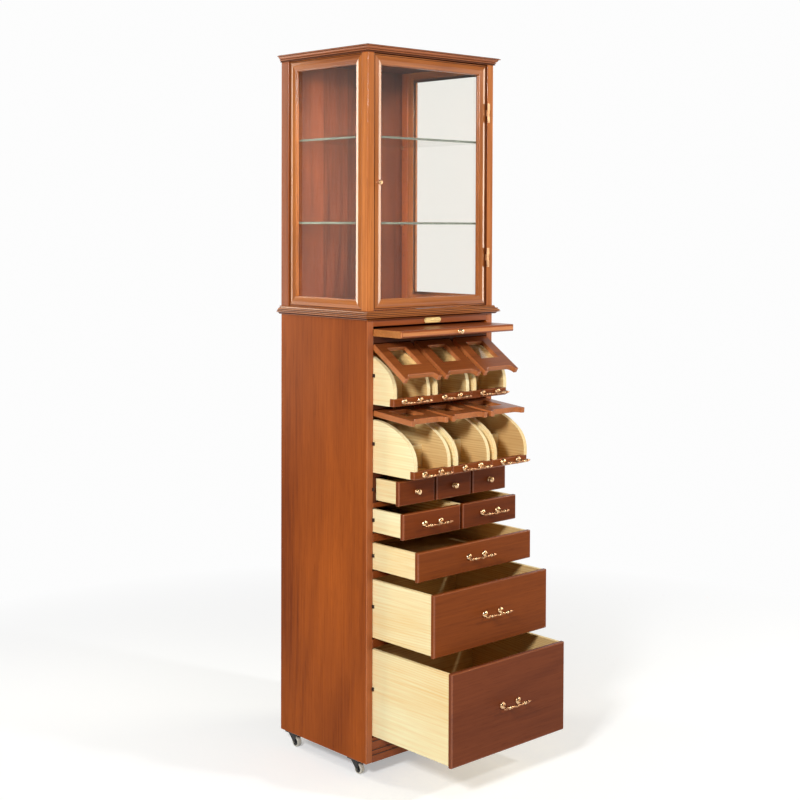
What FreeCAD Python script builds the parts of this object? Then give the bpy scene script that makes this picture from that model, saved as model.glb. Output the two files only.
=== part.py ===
import FreeCAD, Part
import math
import os
import Sketcher

# Haberdashery shop cabinet: a chest of drawers and hinged-lid bins on casters, under a
# glazed display case. Lengths are millimetres, angles degrees. +X runs along the front to
# the right, +Y to the back and +Z up. The origin is on the floor, in the middle of the
# cabinet's box with its drawers pulled out as they stand here.
# Every driving dimension is a cell of the sheet "Sizes"; the sub-parts are bound to it.

DIMENSIONS = {
    # case
    "case_width": 475,
    "case_depth": 368,
    "side_thickness": 22,
    "back_thickness": 10,
    "foot_height": 42,
    "plinth_height": 66,
    "rail_depth": 45,
    "runner_width": 18,
    "runner_rise": 6,
    "floor_thickness": 14,
    # rows from the floor up, each with the rail or shelf above it
    "row7_height": 242,
    "row7_rail": 22,
    "row6_height": 164,
    "row6_rail": 19,
    "row5_height": 79,
    "row5_rail": 21,
    "row4_height": 70,
    "row4_rail": 13,
    "row3_height": 67,
    "row3_shelf": 14,
    "row2_height": 167,
    "row2_shelf": 14,
    "row1_height": 162.5,
    "row1_shelf": 18.5,
    "slot_height": 26,
    "top_rail": 18,
    "waist_height": 23,
    "display_height": 683,
    "cornice_height": 19,
    # how far each row stands open
    "slide_out": 108,
    "bin1_out": 79,
    "bin2_out": 158,
    "drawer3_out": 88,
    "drawer4_out": 118,
    "drawer5_out": 174,
    "drawer6_out": 234,
    "drawer7_out": 299,
    # drawers
    "drawer_gap": 1,
    "drawer_depth": 350,
    "front_thickness": 12,
    "front_chamfer": 2,
    "box_wall": 10,
    "box_floor": 5,
    "box_lift": 6.5,
    "box_drop": 2,
    "floor_inset": 5,
    "back_drop": 8,
    "row3_filler": 11,
    "row3_divider": 5,
    "row4_divider": 7,
    # bins and their lids
    "bin_divider": 14,
    "bin_gap": 1,
    "bin_clearance": 0.4,
    "bin_inset": 18,
    "bin_depth": 300,
    "bin_wall": 12,
    "bin_floor": 8,
    "lip_height": 21,
    "lip_depth": 16,
    "curve_start": 36,
    "curve_length": 160,
    "curve_height": 104,
    "curve_radius": 75,
    "partition_depth": 98,
    "partition_height": 70,
    "bin_back_height": 100,
    "lid_gap": 1.5,
    "lid_length": 134,
    "lid_thickness": 15,
    "lid_stile": 33,
    "lid_top_rail": 21,
    "lid_bottom_rail": 40,
    "horn_length": 16,
    "horn_width": 12,
    "horn_radius": 14,
    "pane_thickness": 3,
    "lid_rebate": 5,
    "lid1_angle": 56.5,
    "lid2_angle": 85,
    # slide board
    "slide_thickness": 19,
    "slide_depth": 340,
    "slide_clearance": 0.4,
    "slide_chamfer": 4,
    # display case
    "post_width": 23,
    "post_depth": 25,
    "rear_post_depth": 33,
    "frame_width": 29,
    "frame_thickness": 20,
    "frame_band": 5,
    "frame_bead": 2,
    "frame_drop": 8,
    "frame_sight": 3,
    "cove_radius": 24,
    "door_gap": 2,
    "rebate_width": 8,
    "rebate_depth": 6,
    "glass_thickness": 4,
    "glass_play": 1,
    "shelf1_height": 460,
    "shelf2_height": 230,
    "shelf_thickness": 6,
    "shelf_clearance": 1.5,
    "pin_radius": 2.5,
    "pin_length": 9,
    # mouldings
    "cornice_overhang": 15,
    "cornice_fillet": 4,
    "cornice_bead": 3,
    "cornice_hollow": 23,
    "waist_overhang": 17,
    "waist_fillet": 5,
    "waist_bead": 4,
    "waist_hollow": 25,
    "moulding_lip": 1,
    "reed_radius": 2,
    "reed1_height": 23,
    "reed2_height": 36,
    "reed3_height": 60,
    # brass
    "plaque_width": 63,
    "plaque_height": 15,
    "plaque_thickness": 2,
    "plaque_radius": 4,
    "knob_radius": 8,
    "knob_reach": 13,
    "knob_neck": 4,
    "knob_head": 8,
    "slide_knob_radius": 7,
    "slide_knob_reach": 12,
    "knob_inset": 15,
    "door_knob_height": 341,
    "hinge_radius": 3.5,
    "hinge_height": 54,
    "hinge_leaf": 6,
    "hinge_leaf_thickness": 1.2,
    "hinge_pin_radius": 1.5,
    "hinge_play": 0.3,
    "hinge_inset": 110,
    "pull_spacing": 59,
    "pull_reach": 30,
    "pull_head": 5,
    "pull_neck": 3.5,
    "bar_thickness": 6,
    "bar_height": 9,
    "bar_neck": 5,
    "leaf_length": 22,
    "pull_rise": 1,
    # casters
    "caster_side": 20,
    "caster_front": 60,
    "caster_rear": 330,
    "plate_size": 38,
    "plate_thickness": 3,
    "wheel_radius": 14,
    "wheel_width": 13,
    "trail": 11,
    "axle_radius": 2.5,
    "axle_play": 0.2,
    "cheek_thickness": 2.5,
    "cheek_play": 0.8,
    "swivel_play": 0.4,
    "crown_reach": 14,
    "crown_thickness": 4,
}

DOC = FreeCAD.newDocument("haberdashery_cabinet")
SHEET = DOC.addObject("Spreadsheet::Sheet", "Sizes")
NODES = []

NEAR_ROUND = 1.1    # an arc's radius over its half chord, for arcs that are all but half round
SHALLOW = 1.4       # the same for beads that stand less proud
X_AXIS = FreeCAD.Vector(1, 0, 0)
Z_AXIS = FreeCAD.Vector(0, 0, 1)
FLAT = FreeCAD.Rotation()
FACING_FRONT = FreeCAD.Rotation(X_AXIS, 90)                          # x, y, z to X, Z, -Y
FACING_SIDE = FreeCAD.Rotation(FreeCAD.Vector(1, 1, 1), 120)          # x, y, z to Y, Z, X
FACING_LEFT = FreeCAD.Rotation(FreeCAD.Vector(1, -1, -1), 120)        # x, y, z to -Y, Z, -X


class Size:
    """A length together with the sheet expression that gives it."""

    def __init__(self, value, text):
        self.value = value
        self.text = text

    def __add__(self, other):
        other = size_of(other)
        return Size(self.value + other.value, f"({self.text} + {other.text})")

    def __sub__(self, other):
        other = size_of(other)
        return Size(self.value - other.value, f"({self.text} - {other.text})")

    def __mul__(self, other):
        other = size_of(other)
        return Size(self.value * other.value, f"({self.text} * {other.text})")

    def __truediv__(self, other):
        other = size_of(other)
        return Size(self.value / other.value, f"({self.text} / {other.text})")

    def __neg__(self):
        return Size(-self.value, f"(0 - {self.text})")

    def __radd__(self, other):
        return size_of(other) + self

    def __rsub__(self, other):
        return size_of(other) - self

    def __rmul__(self, other):
        return size_of(other) * self


def size_of(value):
    """A Size as it is, or a plain number as a constant Size."""
    return value if isinstance(value, Size) else Size(float(value), f"({value})")


class Sheet:
    """The driving dimensions, read by name."""

    def __getattr__(self, name):
        return Size(float(DIMENSIONS[name]), f"Sizes.{name}")


dim = Sheet()


def fill_sheet():
    """Write every driving dimension into the sheet under its alias."""
    for line, (name, value) in enumerate(DIMENSIONS.items(), start=1):
        SHEET.set(f"A{line}", name)
        SHEET.set(f"B{line}", str(value))
        SHEET.setAlias(f"B{line}", name)
    DOC.recompute()


# ---------------------------------------------------------------- building blocks

def bind(item, path, value):
    """Bind one property of an object to a Size."""
    item.setExpression(path, size_of(value).text)


def place(item, at, turn=FLAT):
    """Turn an object and bind its position."""
    item.Placement = FreeCAD.Placement(FreeCAD.Vector(), turn)
    for axis, value in zip("xyz", at):
        bind(item, f".Placement.Base.{axis}", value)
    return item


def block(label, low, high):
    """A board between its lowest and highest corners."""
    item = DOC.addObject("Part::Box", label)
    for name, start, end in zip(("Length", "Width", "Height"), low, high):
        bind(item, name, end - start)
    return place(item, low)


def rod(label, radius, length, at, turn=FLAT):
    """A round rod that starts at a point and runs along its own z axis."""
    item = DOC.addObject("Part::Cylinder", label)
    bind(item, "Radius", radius)
    bind(item, "Height", length)
    return place(item, at, turn)


def stud(label, radius, length, at, turn=FLAT):
    """A small eight-sided stud along its own z axis, for fittings too slight to turn round."""
    item = DOC.addObject("Part::Prism", label)
    item.Polygon = 8
    bind(item, "Circumradius", radius)
    bind(item, "Height", length)
    return place(item, at, turn)


def cut(label, base, tool):
    """One solid less another."""
    item = DOC.addObject("Part::Cut", label)
    item.Base = base
    item.Tool = tool
    return item


def overlap(label, base, tool):
    """What two solids share."""
    item = DOC.addObject("Part::Common", label)
    item.Base = base
    item.Tool = tool
    return item


def fused(label, pieces):
    """Several solids joined to one."""
    item = DOC.addObject("Part::MultiFuse", label)
    item.Shapes = pieces
    return item


def group(label, pieces, at=(0, 0, 0), turn=FLAT):
    """Several separate solids kept together."""
    item = DOC.addObject("Part::Compound", label)
    item.Links = pieces
    return place(item, at, turn)


def node(item, label):
    """Name a finished sub-part and keep it for export."""
    item.Label = label
    NODES.append(item)
    return item


def arc_between(start, end, radius):
    """The arc of a radius between two points: centre on the left if positive, else right."""
    chord = end - start
    half = chord.Length / 2
    across = FreeCAD.Vector(-chord.y, chord.x, 0).normalize()
    reach = math.sqrt(max(radius * radius - half * half, 0))
    centre = (start + end) * 0.5 + across * math.copysign(reach, radius)
    first, last = (start, end) if radius > 0 else (end, start)
    angles = [math.atan2(p.y - centre.y, p.x - centre.x) for p in (first, last)]
    return Part.ArcOfCircle(Part.Circle(centre, Z_AXIS, abs(radius)), *angles)


def draw(sketch, corners):
    """Add one closed outline to a sketch.

    A corner is (x, y), or (x, y, radius) where an arc leads on to the next corner. Each
    corner and radius is a constraint bound to the sheet.
    """
    corners = [tuple(size_of(value) for value in corner) for corner in corners]
    points = [FreeCAD.Vector(corner[0].value, corner[1].value, 0) for corner in corners]
    first = sketch.GeometryCount
    starts = []
    for index, corner in enumerate(corners):
        start, end = points[index], points[(index + 1) % len(points)]
        if len(corner) == 3:
            line = sketch.addGeometry(arc_between(start, end, corner[2].value), False)
            starts.append(1 if corner[2].value > 0 else 2)
        else:
            line = sketch.addGeometry(Part.LineSegment(start, end), False)
            starts.append(1)
    for index, corner in enumerate(corners):
        line = first + index
        after = (index + 1) % len(corners)
        sketch.addConstraint(
            Sketcher.Constraint("Coincident", line, 3 - starts[index], first + after, starts[after])
        )
        pin(sketch, "DistanceX", (-1, 1, line, starts[index]), corner[0], f"x{line}")
        pin(sketch, "DistanceY", (-1, 1, line, starts[index]), corner[1], f"y{line}")
        if len(corner) == 3:
            radius = corner[2] if corner[2].value > 0 else -corner[2]
            pin(sketch, "Radius", (line,), radius, f"r{line}")


def pin(sketch, kind, where, value, name):
    """Add a named dimension to a sketch and bind it."""
    index = sketch.addConstraint(Sketcher.Constraint(kind, *where, value.value))
    sketch.renameConstraint(index, name)
    bind(sketch, f"Constraints.{name}", value)


def new_sketch(body, plane, name):
    """A sketch on one of a body's own origin planes."""
    sketch = body.newObject("Sketcher::SketchObject", name)
    support = [item for item in body.Origin.OriginFeatures if item.Role == plane]
    sketch.AttachmentSupport = [(support[0], "")]
    sketch.MapMode = "FlatFace"
    return sketch


def panel(label, outlines, thickness, at, turn=FLAT, downward=False, plane="XY_Plane"):
    """A board sawn to an outline, with any further outlines as holes through it."""
    body = DOC.addObject("PartDesign::Body", label)
    sketch = new_sketch(body, plane, f"{label}_outline")
    for corners in outlines:
        draw(sketch, corners)
    pad = body.newObject("PartDesign::Pad", f"{label}_pad")
    pad.Profile = sketch
    pad.Reversed = downward
    bind(pad, "Length", thickness)
    return place(body, at, turn)


def turned(label, corners, at, turn):
    """A turned piece: corners are (radius, distance along its axis), axis on local y."""
    body = DOC.addObject("PartDesign::Body", label)
    sketch = new_sketch(body, "XY_Plane", f"{label}_outline")
    draw(sketch, corners)
    feature = body.newObject("PartDesign::Revolution", f"{label}_turning")
    feature.Profile = sketch
    feature.ReferenceAxis = (sketch, ["V_Axis"])
    feature.Angle = 360
    return place(body, at, turn)


def rectangle(left, low, right, high):
    """The four corners of an upright rectangle."""
    return [(left, low), (right, low), (right, high), (left, high)]


def ease_front(body, radius):
    """Chamfer the edges of the face that a body's pad ends on."""
    DOC.recompute()
    pad = body.Tip
    top = max(range(len(pad.Shape.Faces)), key=lambda n: pad.Shape.Faces[n].CenterOfMass.z)
    chamfer = body.newObject("PartDesign::Chamfer", f"{body.Name}_chamfer")
    chamfer.Base = (pad, [f"Face{top + 1}"])
    bind(chamfer, "Size", radius)
    return body


# ---------------------------------------------------------------- places shared by pieces

half = dim.case_width / 2
inner = half - dim.side_thickness
front = (dim.drawer7_out + dim.pull_reach - dim.case_depth) / 2
back = front + dim.case_depth
panel_front = back - dim.back_thickness

row7_low = dim.foot_height + dim.plinth_height
row7_high = row7_low + dim.row7_height
row6_low = row7_high + dim.row7_rail
row6_high = row6_low + dim.row6_height
row5_low = row6_high + dim.row6_rail
row5_high = row5_low + dim.row5_height
row4_low = row5_high + dim.row5_rail
row4_high = row4_low + dim.row4_height
row3_low = row4_high + dim.row4_rail
row3_high = row3_low + dim.row3_height
row2_low = row3_high + dim.row3_shelf
row2_high = row2_low + dim.row2_height
row1_low = row2_high + dim.row2_shelf
row1_high = row1_low + dim.row1_height
slot_low = row1_high + dim.row1_shelf
slot_high = slot_low + dim.slot_height
waist_low = slot_high + dim.top_rail
display_low = waist_low + dim.waist_height
display_high = display_low + dim.display_height
total_height = display_high + dim.cornice_height

bin_pitch = (2 * inner + dim.bin_divider) / 3
lid_width = bin_pitch - dim.bin_divider - 2 * dim.bin_gap


# ---------------------------------------------------------------- lower case

def case():
    """The fixed boards of the lower case."""
    sides = [
        block("left_side", (-half, front, dim.foot_height), (-inner, back, waist_low)),
        block("right_side", (inner, front, dim.foot_height), (half, back, waist_low)),
    ]
    node(group("case_sides", sides), "case_sides")
    node(
        block("case_back", (-inner, panel_front, dim.foot_height), (inner, back, waist_low)),
        "case_back",
    )
    floor_low = row7_low - dim.floor_thickness
    levels = [
        ("cabinet_floor", floor_low, row7_low, front + dim.side_thickness),
        ("row3_board", row3_high, row2_low, front),
        ("row2_board", row2_high, row1_low, front),
        ("row1_board", row1_high, slot_low, front),
    ]
    boards = [
        block(name, (-inner, near, low), (inner, panel_front, high))
        for name, low, high, near in levels
    ]
    node(group("case_shelves", boards), "case_shelves")


def front_rails():
    """The rails between the drawers, the top rail, and the plinth rail with its reeds."""
    rails = [
        block(f"rail_{name}", (-inner, front, low), (inner, front + dim.rail_depth, high))
        for name, low, high in (
            ("row7", row7_high, row6_low),
            ("row6", row6_high, row5_low),
            ("row5", row5_high, row4_low),
            ("row4", row4_high, row3_low),
            ("top", slot_high, waist_low),
        )
    ]
    rails.append(plinth_rail())
    node(group("front_rails", rails), "front_rails")


def plinth_rail():
    """The board under the lowest drawer, with three reeded lines across its face."""
    low, high, thick = dim.foot_height, dim.plinth_height, dim.side_thickness
    gap = dim.reed_radius
    corners = [(0, 0)]
    for height in (dim.reed1_height, dim.reed2_height, dim.reed3_height):
        corners += [(0, height - gap, NEAR_ROUND * gap), (0, height + gap)]
    corners += [(0, high), (thick, high), (thick, 0)]
    return panel("plinth", [corners], 2 * inner, (-inner, front, low), FACING_SIDE)


def drawer_guides():
    """Runners under every drawer's sides, and the thin boards between small drawers."""
    near = front + dim.rail_depth
    pieces = []
    for name, low, high in (
        ("row7", row7_low, row7_low),
        ("row6", row7_high, row6_low),
        ("row5", row6_high, row5_low),
        ("row4", row5_high, row4_low),
        ("row3", row4_high, row3_low),
    ):
        top = high + dim.runner_rise
        wide = dim.runner_width + (dim.row3_filler if name == "row3" else 0)
        pieces.append(
            block(f"runner_left_{name}", (-inner, near, low), (wide - inner, panel_front, top))
        )
        pieces.append(
            block(f"runner_right_{name}", (inner - wide, near, low), (inner, panel_front, top))
        )
    pieces += [
        block("filler_left", (-inner, front, row3_low), (dim.row3_filler - inner, near, row3_high)),
        block("filler_right", (inner - dim.row3_filler, front, row3_low), (inner, near, row3_high)),
    ]
    pieces += small_dividers()
    for row, low, high in (("row1", row1_low, row1_high), ("row2", row2_low, row2_high)):
        for side, middle in (("left", -bin_pitch / 2), ("right", bin_pitch / 2)):
            pieces.append(bin_divider(f"bin_divider_{row}_{side}", middle, low, high))
    node(group("drawer_guides", pieces), "drawer_guides")


def bin_divider(label, middle, low, high):
    """An upright board between two bins, notched at the foot where their lips draw in."""
    deep, tall = panel_front - front, high - low
    near = dim.bin_inset + dim.lip_depth + dim.bin_gap
    over = dim.bin_clearance + dim.lip_height + dim.bin_gap
    outline = [(near, 0), (deep, 0), (deep, tall), (0, tall), (0, over), (near, over)]
    return panel(label, [outline], dim.bin_divider, (middle - dim.bin_divider / 2, front, low),
                 FACING_SIDE)


def small_dividers():
    """The upright boards in rows 3 and 4, each on a flat centre runner."""
    pieces = []
    near = front + dim.rail_depth
    for row, low, high, thickness, places in (
        ("row3", row3_low, row3_high, dim.row3_divider, row3_places()[1]),
        ("row4", row4_low, row4_high, dim.row4_divider, [size_of(0)]),
    ):
        rail = dim.row4_rail if row == "row3" else dim.row5_rail
        for index, middle in enumerate(places):
            wide = thickness / 2 + dim.runner_width / 2
            board = block(f"divider_board_{row}_{index}", (middle - thickness / 2, front, low),
                          (middle + thickness / 2, panel_front, high))
            runner = block(f"divider_runner_{row}_{index}", (middle - wide, near, low - rail),
                           (middle + wide, panel_front, low + dim.runner_rise))
            pieces.append(fused(f"divider_{row}_{index}", [board, runner]))
    return pieces


def row3_places():
    """Middles of the three small drawers, and of the two boards between them."""
    opening = inner - dim.row3_filler
    pitch = (2 * opening + dim.row3_divider) / 3
    return [-pitch, size_of(0), pitch], [-pitch / 2, pitch / 2]


# ---------------------------------------------------------------- mouldings

def mitred_strip(label, profile, length, width, mitres, at, turn):
    """A moulded strip along local x, its outer edge at y = 0, mitred at either end."""
    bar = panel(f"{label}_bar", [profile], length, (0, 0, 0), plane="YZ_Plane")
    wedge = DOC.addObject("Part::Wedge", f"{label}_mitres")
    start, end = mitres
    for name, value in (
        ("Xmin", 0), ("Xmax", length), ("X2min", width * start), ("X2max", length - width * end),
        ("Ymin", 0), ("Ymax", width), ("Zmin", -length), ("Zmax", length),
        ("Z2min", -length), ("Z2max", length),
    ):
        bind(wedge, name, value)
    return place(overlap(label, bar, wedge), at, turn)


def picture_frame(label, width, height, at, turn):
    """Four moulded rails mitred round a pane, outer corner at the origin, face up in z."""
    profile = frame_profile()
    corners = ((0, 0), (width, 0), (width, height), (0, height))
    rails = [
        mitred_strip(f"{label}_rail{side}", profile, (width, height)[side % 2],
                     dim.frame_width, (1, 1), (*corner, 0), FreeCAD.Rotation(Z_AXIS, 90 * side))
        for side, corner in enumerate(corners)
    ]
    return group(label, rails, at, turn)


def frame_profile():
    """Section of a frame rail: flat band, bead, hollow down to the glass, rebate behind."""
    face = dim.frame_thickness - dim.frame_bead
    bead_end = dim.frame_band + 2 * dim.frame_bead
    sight = dim.frame_thickness - dim.frame_drop
    return [
        (0, 0),
        (0, face),
        (dim.frame_band, face, -SHALLOW * dim.frame_bead),
        (bead_end, face, dim.cove_radius),
        (dim.frame_width - dim.frame_sight, sight),
        (dim.frame_width, sight),
        (dim.frame_width, dim.rebate_depth),
        (dim.frame_width - dim.rebate_width, dim.rebate_depth),
        (dim.frame_width - dim.rebate_width, 0),
    ]


def pane(label, width, height, at, turn):
    """The glass of a picture frame, set in its rebate."""
    edge = dim.frame_width - dim.rebate_width + dim.glass_play
    sheet = rectangle(edge, edge, width - edge, height - edge)
    glass = panel(f"{label}_sheet", [sheet], dim.glass_thickness, (0, 0, 0))
    bind(glass, ".Placement.Base.z", dim.rebate_depth - dim.glass_thickness)
    return group(label, [glass], at, turn)


def cornice_profile():
    """Section of the cornice: bead at the foot, hollow, thin fillet at the tip."""
    out, high = dim.cornice_overhang, dim.cornice_height
    return [
        (out, 0),
        (out, high),
        (0, high),
        (0, high - dim.cornice_fillet),
        (dim.moulding_lip, high - dim.cornice_fillet, dim.cornice_hollow),
        (out - dim.cornice_bead, dim.cornice_bead),
        (out - dim.cornice_bead, 0),
    ]


def waist_profile():
    """Section of the waist moulding: fillet at the foot, hollow, bead at the top."""
    out, high = dim.waist_overhang, dim.waist_height
    return [
        (out, 0),
        (out, high),
        (out - dim.waist_bead, high, NEAR_ROUND * dim.waist_bead / 2),
        (out - dim.waist_bead, high - dim.waist_bead, -dim.waist_hollow),
        (dim.moulding_lip, dim.waist_fillet),
        (0, dim.waist_fillet),
        (0, 0),
    ]


def moulded_board(label, profile, overhang, low, high):
    """A board across the case with a moulding mitred round its front and ends."""
    board = block(f"{label}_board", (-half, front, low), (half, back, high))
    long_side = dim.case_depth + overhang
    strips = [
        mitred_strip(f"{label}_left", profile, long_side, overhang, (0, 1),
                     (-half - overhang, back, low), FreeCAD.Rotation(Z_AXIS, -90)),
        mitred_strip(f"{label}_front", profile, dim.case_width + 2 * overhang, overhang, (1, 1),
                     (-half - overhang, front - overhang, low), FLAT),
        mitred_strip(f"{label}_right", profile, long_side, overhang, (1, 0),
                     (half + overhang, front - overhang, low), FreeCAD.Rotation(Z_AXIS, 90)),
    ]
    node(group(label, [board, *strips]), label)


# ---------------------------------------------------------------- display case

def display():
    """Posts, back panel, side sashes and glass of the display case."""
    in_post = half - dim.post_width
    rear = back - dim.rear_post_depth
    posts = [
        block("post_front_left", (-half, front, display_low),
              (-in_post, front + dim.post_depth, display_high)),
        block("post_front_right", (in_post, front, display_low),
              (half, front + dim.post_depth, display_high)),
        block("post_rear_left", (-half, rear, display_low), (-in_post, back, display_high)),
        block("post_rear_right", (in_post, rear, display_low), (half, back, display_high)),
    ]
    node(group("display_posts", posts), "display_posts")
    node(block("display_back", (-in_post, panel_front, display_low),
               (in_post, back, display_high)), "display_back")
    length = dim.case_depth - dim.post_depth - dim.rear_post_depth
    near = front + dim.post_depth
    left_at = (dim.frame_thickness - half, rear, display_low)
    right_at = (half - dim.frame_thickness, near, display_low)
    sashes = [
        picture_frame("left_sash", length, dim.display_height, left_at, FACING_LEFT),
        picture_frame("right_sash", length, dim.display_height, right_at, FACING_SIDE),
    ]
    node(group("side_sashes", sashes), "side_sashes")
    glass = [
        pane("left_pane", length, dim.display_height, left_at, FACING_LEFT),
        pane("right_pane", length, dim.display_height, right_at, FACING_SIDE),
    ]
    edge = in_post - dim.shelf_clearance
    shelf_near = front + dim.frame_thickness + dim.shelf_clearance
    for name, height in (("upper_shelf", dim.shelf1_height), ("lower_shelf", dim.shelf2_height)):
        low = display_low + height
        glass.append(
            block(name, (-edge, shelf_near, low),
                  (edge, panel_front - dim.shelf_clearance, low + dim.shelf_thickness))
        )
    node(group("display_glass", glass), "display_glass")


def door():
    """The glazed door with its knob and its halves of the two hinges."""
    in_post = half - dim.post_width
    width = 2 * (in_post - dim.door_gap / 2)
    height = dim.display_height - 2 * dim.door_gap
    at = (dim.door_gap / 2 - in_post, front + dim.frame_thickness, display_low + dim.door_gap)
    node(picture_frame("door_frame", width, height, at, FACING_FRONT), "door_frame")
    node(pane("door_glass", width, height, at, FACING_FRONT), "door_glass")
    band = front + dim.frame_bead
    knob_x = dim.knob_inset - in_post
    knob_y = front + dim.frame_drop
    pieces = [
        knob("door_knob", dim.slide_knob_radius, dim.slide_knob_reach + dim.frame_drop,
             (knob_x, knob_y, display_low + dim.door_knob_height))
    ]
    for name, low in hinge_places():
        third = dim.hinge_height / 3
        axis = (in_post, hinge_line(), low + third + dim.hinge_play)
        reach = third - 2 * dim.hinge_play
        barrel = rod(f"{name}_door_barrel", dim.hinge_radius, reach, axis)
        hole = rod(f"{name}_hole", dim.hinge_pin_radius + dim.hinge_play, reach, axis)
        leaf = block(
            f"{name}_door_leaf",
            (in_post - dim.frame_band, hinge_line(), low + third + dim.hinge_play),
            (in_post - dim.hinge_play, band, low + 2 * third - dim.hinge_play),
        )
        pieces.append(cut(name + "_door_half", fused(name + "_door_solid", [barrel, leaf]), hole))
    node(group("door_fittings", pieces), "door_fittings")


def hinge_places():
    """The two hinges, with the height of each one's foot."""
    low = display_low + dim.hinge_inset
    high = display_high - dim.hinge_inset - dim.hinge_height
    return (("lower_hinge", low), ("upper_hinge", high))


def hinge_line():
    """Depth of the hinge pins, with the barrels just proud of the door's face."""
    return front - dim.hinge_radius


def case_brass():
    """Plaque, shelf pins, and the fixed halves of the hinges with their pins."""
    in_post = half - dim.post_width
    middle = (slot_high + waist_low) / 2
    pieces = [plaque((0, front, middle))]
    for name, low in hinge_places():
        third = dim.hinge_height / 3
        solids = [rod(f"{name}_pin", dim.hinge_pin_radius, dim.hinge_height,
                      (in_post, hinge_line(), low))]
        for part, foot in (("low", low), ("high", low + 2 * third)):
            solids.append(rod(f"{name}_{part}_barrel", dim.hinge_radius, third,
                              (in_post, hinge_line(), foot)))
            solids.append(block(
                f"{name}_{part}_leaf",
                (in_post + dim.hinge_play, front - dim.hinge_leaf_thickness, foot),
                (in_post + dim.hinge_radius + dim.hinge_leaf, front, foot + third),
            ))
        pieces.append(fused(f"{name}_case_half", solids))
    pin_rows = (front + dim.frame_thickness + dim.shelf_clearance + dim.pin_radius,
                back - dim.rear_post_depth / 2)
    for shelf, height in (("upper", dim.shelf1_height), ("lower", dim.shelf2_height)):
        for index, depth in enumerate(pin_rows):
            level = display_low + height - dim.pin_radius
            left = (-in_post, depth, level)
            right = (in_post - dim.pin_length, depth, level)
            turn = FreeCAD.Rotation(FreeCAD.Vector(0, 1, 0), 90)
            for side, at in (("left", left), ("right", right)):
                pieces.append(stud(f"pin_{shelf}_{side}_{index}", dim.pin_radius,
                                   dim.pin_length, at, turn))
    node(group("brass_fittings", pieces), "brass_fittings")


def plaque(at):
    """A bare brass plaque with scooped corners."""
    wide, high, scoop = dim.plaque_width / 2, dim.plaque_height / 2, dim.plaque_radius
    corners = [
        (scoop - wide, -high), (wide - scoop, -high, -scoop), (wide, scoop - high),
        (wide, high - scoop, -scoop), (wide - scoop, high), (scoop - wide, high, -scoop),
        (-wide, high - scoop), (-wide, scoop - high, -scoop),
    ]
    return panel("plaque", [corners], dim.plaque_thickness, at, FACING_FRONT)


# ---------------------------------------------------------------- brass pulls and knobs

def knob(label, radius, reach, at):
    """A turned brass knob that stands out to the front from a point: neck and flat head."""
    neck, head = dim.knob_neck, reach - dim.knob_head
    corners = [(0, 0), (neck, 0), (neck, head), (radius, head), (radius, reach), (0, reach)]
    return turned(label, corners, at, FreeCAD.Rotation(X_AXIS, 180))


def bow_pull(label, at):
    """A cast bow pull: two posts, and an ornamented bar across their heads."""
    across, face, level = at
    bar_back = dim.pull_reach - dim.bar_thickness
    pieces = []
    for side, shift in enumerate((-dim.pull_spacing / 2, dim.pull_spacing / 2)):
        pieces.append(stud(f"{label}_post{side}", dim.pull_neck, bar_back,
                           (across + shift, face, level), FACING_FRONT))
    pieces.append(panel(f"{label}_bar", [bar_outline()], dim.bar_thickness,
                        (across, face - bar_back, level), FACING_FRONT))
    return pieces


def bar_outline():
    """Front view of the bar: swelling in the middle, knuckles on the posts, leaf ends."""
    head, rim = dim.pull_spacing / 2, dim.pull_head
    neck, bulge = dim.bar_neck / 2, dim.bar_height / 2
    leaf, tip = head + (rim + dim.leaf_length) / 2, head + dim.leaf_length
    right = [
        (bulge, -bulge),
        (head - rim, -neck),
        (head, -rim),
        (head + rim, -neck),
        (leaf, -bulge),
        (tip, 0),
        (leaf, bulge),
        (head + rim, neck),
        (head, rim),
        (head - rim, neck),
        (bulge, bulge),
    ]
    return right + mirrored(right)


def mirrored(corners):
    """The same outline on the other side of x = 0, in the order that closes the loop."""
    return [(-size_of(x), y) for x, y in reversed(corners)]


# ---------------------------------------------------------------- drawers and slide

def drawer(label, middle, width, low, high, out):
    """A drawer: stained front, and a pine box of two sides, a back and a bottom."""
    gap = dim.drawer_gap
    left, right = middle - width / 2 + gap, middle + width / 2 - gap
    face = front - out
    front_back = face + dim.front_thickness
    end = face + dim.drawer_depth
    foot, head = low + dim.box_lift, high - gap - dim.box_drop
    board = panel(f"{label}_front", [rectangle(left, low + gap, right, high - gap)],
                  dim.front_thickness, (0, front_back, 0), FACING_FRONT)
    ease_front(board, dim.front_chamfer)
    wall = dim.box_wall
    floor_low = foot + dim.floor_inset
    pieces = [
        board,
        block(f"{label}_left", (left, front_back, foot), (left + wall, end, head)),
        block(f"{label}_right", (right - wall, front_back, foot), (right, end, head)),
        block(f"{label}_back", (left + wall, end - wall, foot),
              (right - wall, end, head - dim.back_drop)),
        block(f"{label}_bottom", (left + wall, front_back, floor_low),
              (right - wall, end - wall, floor_low + dim.box_floor)),
    ]
    node(group(label, pieces), label)


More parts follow.
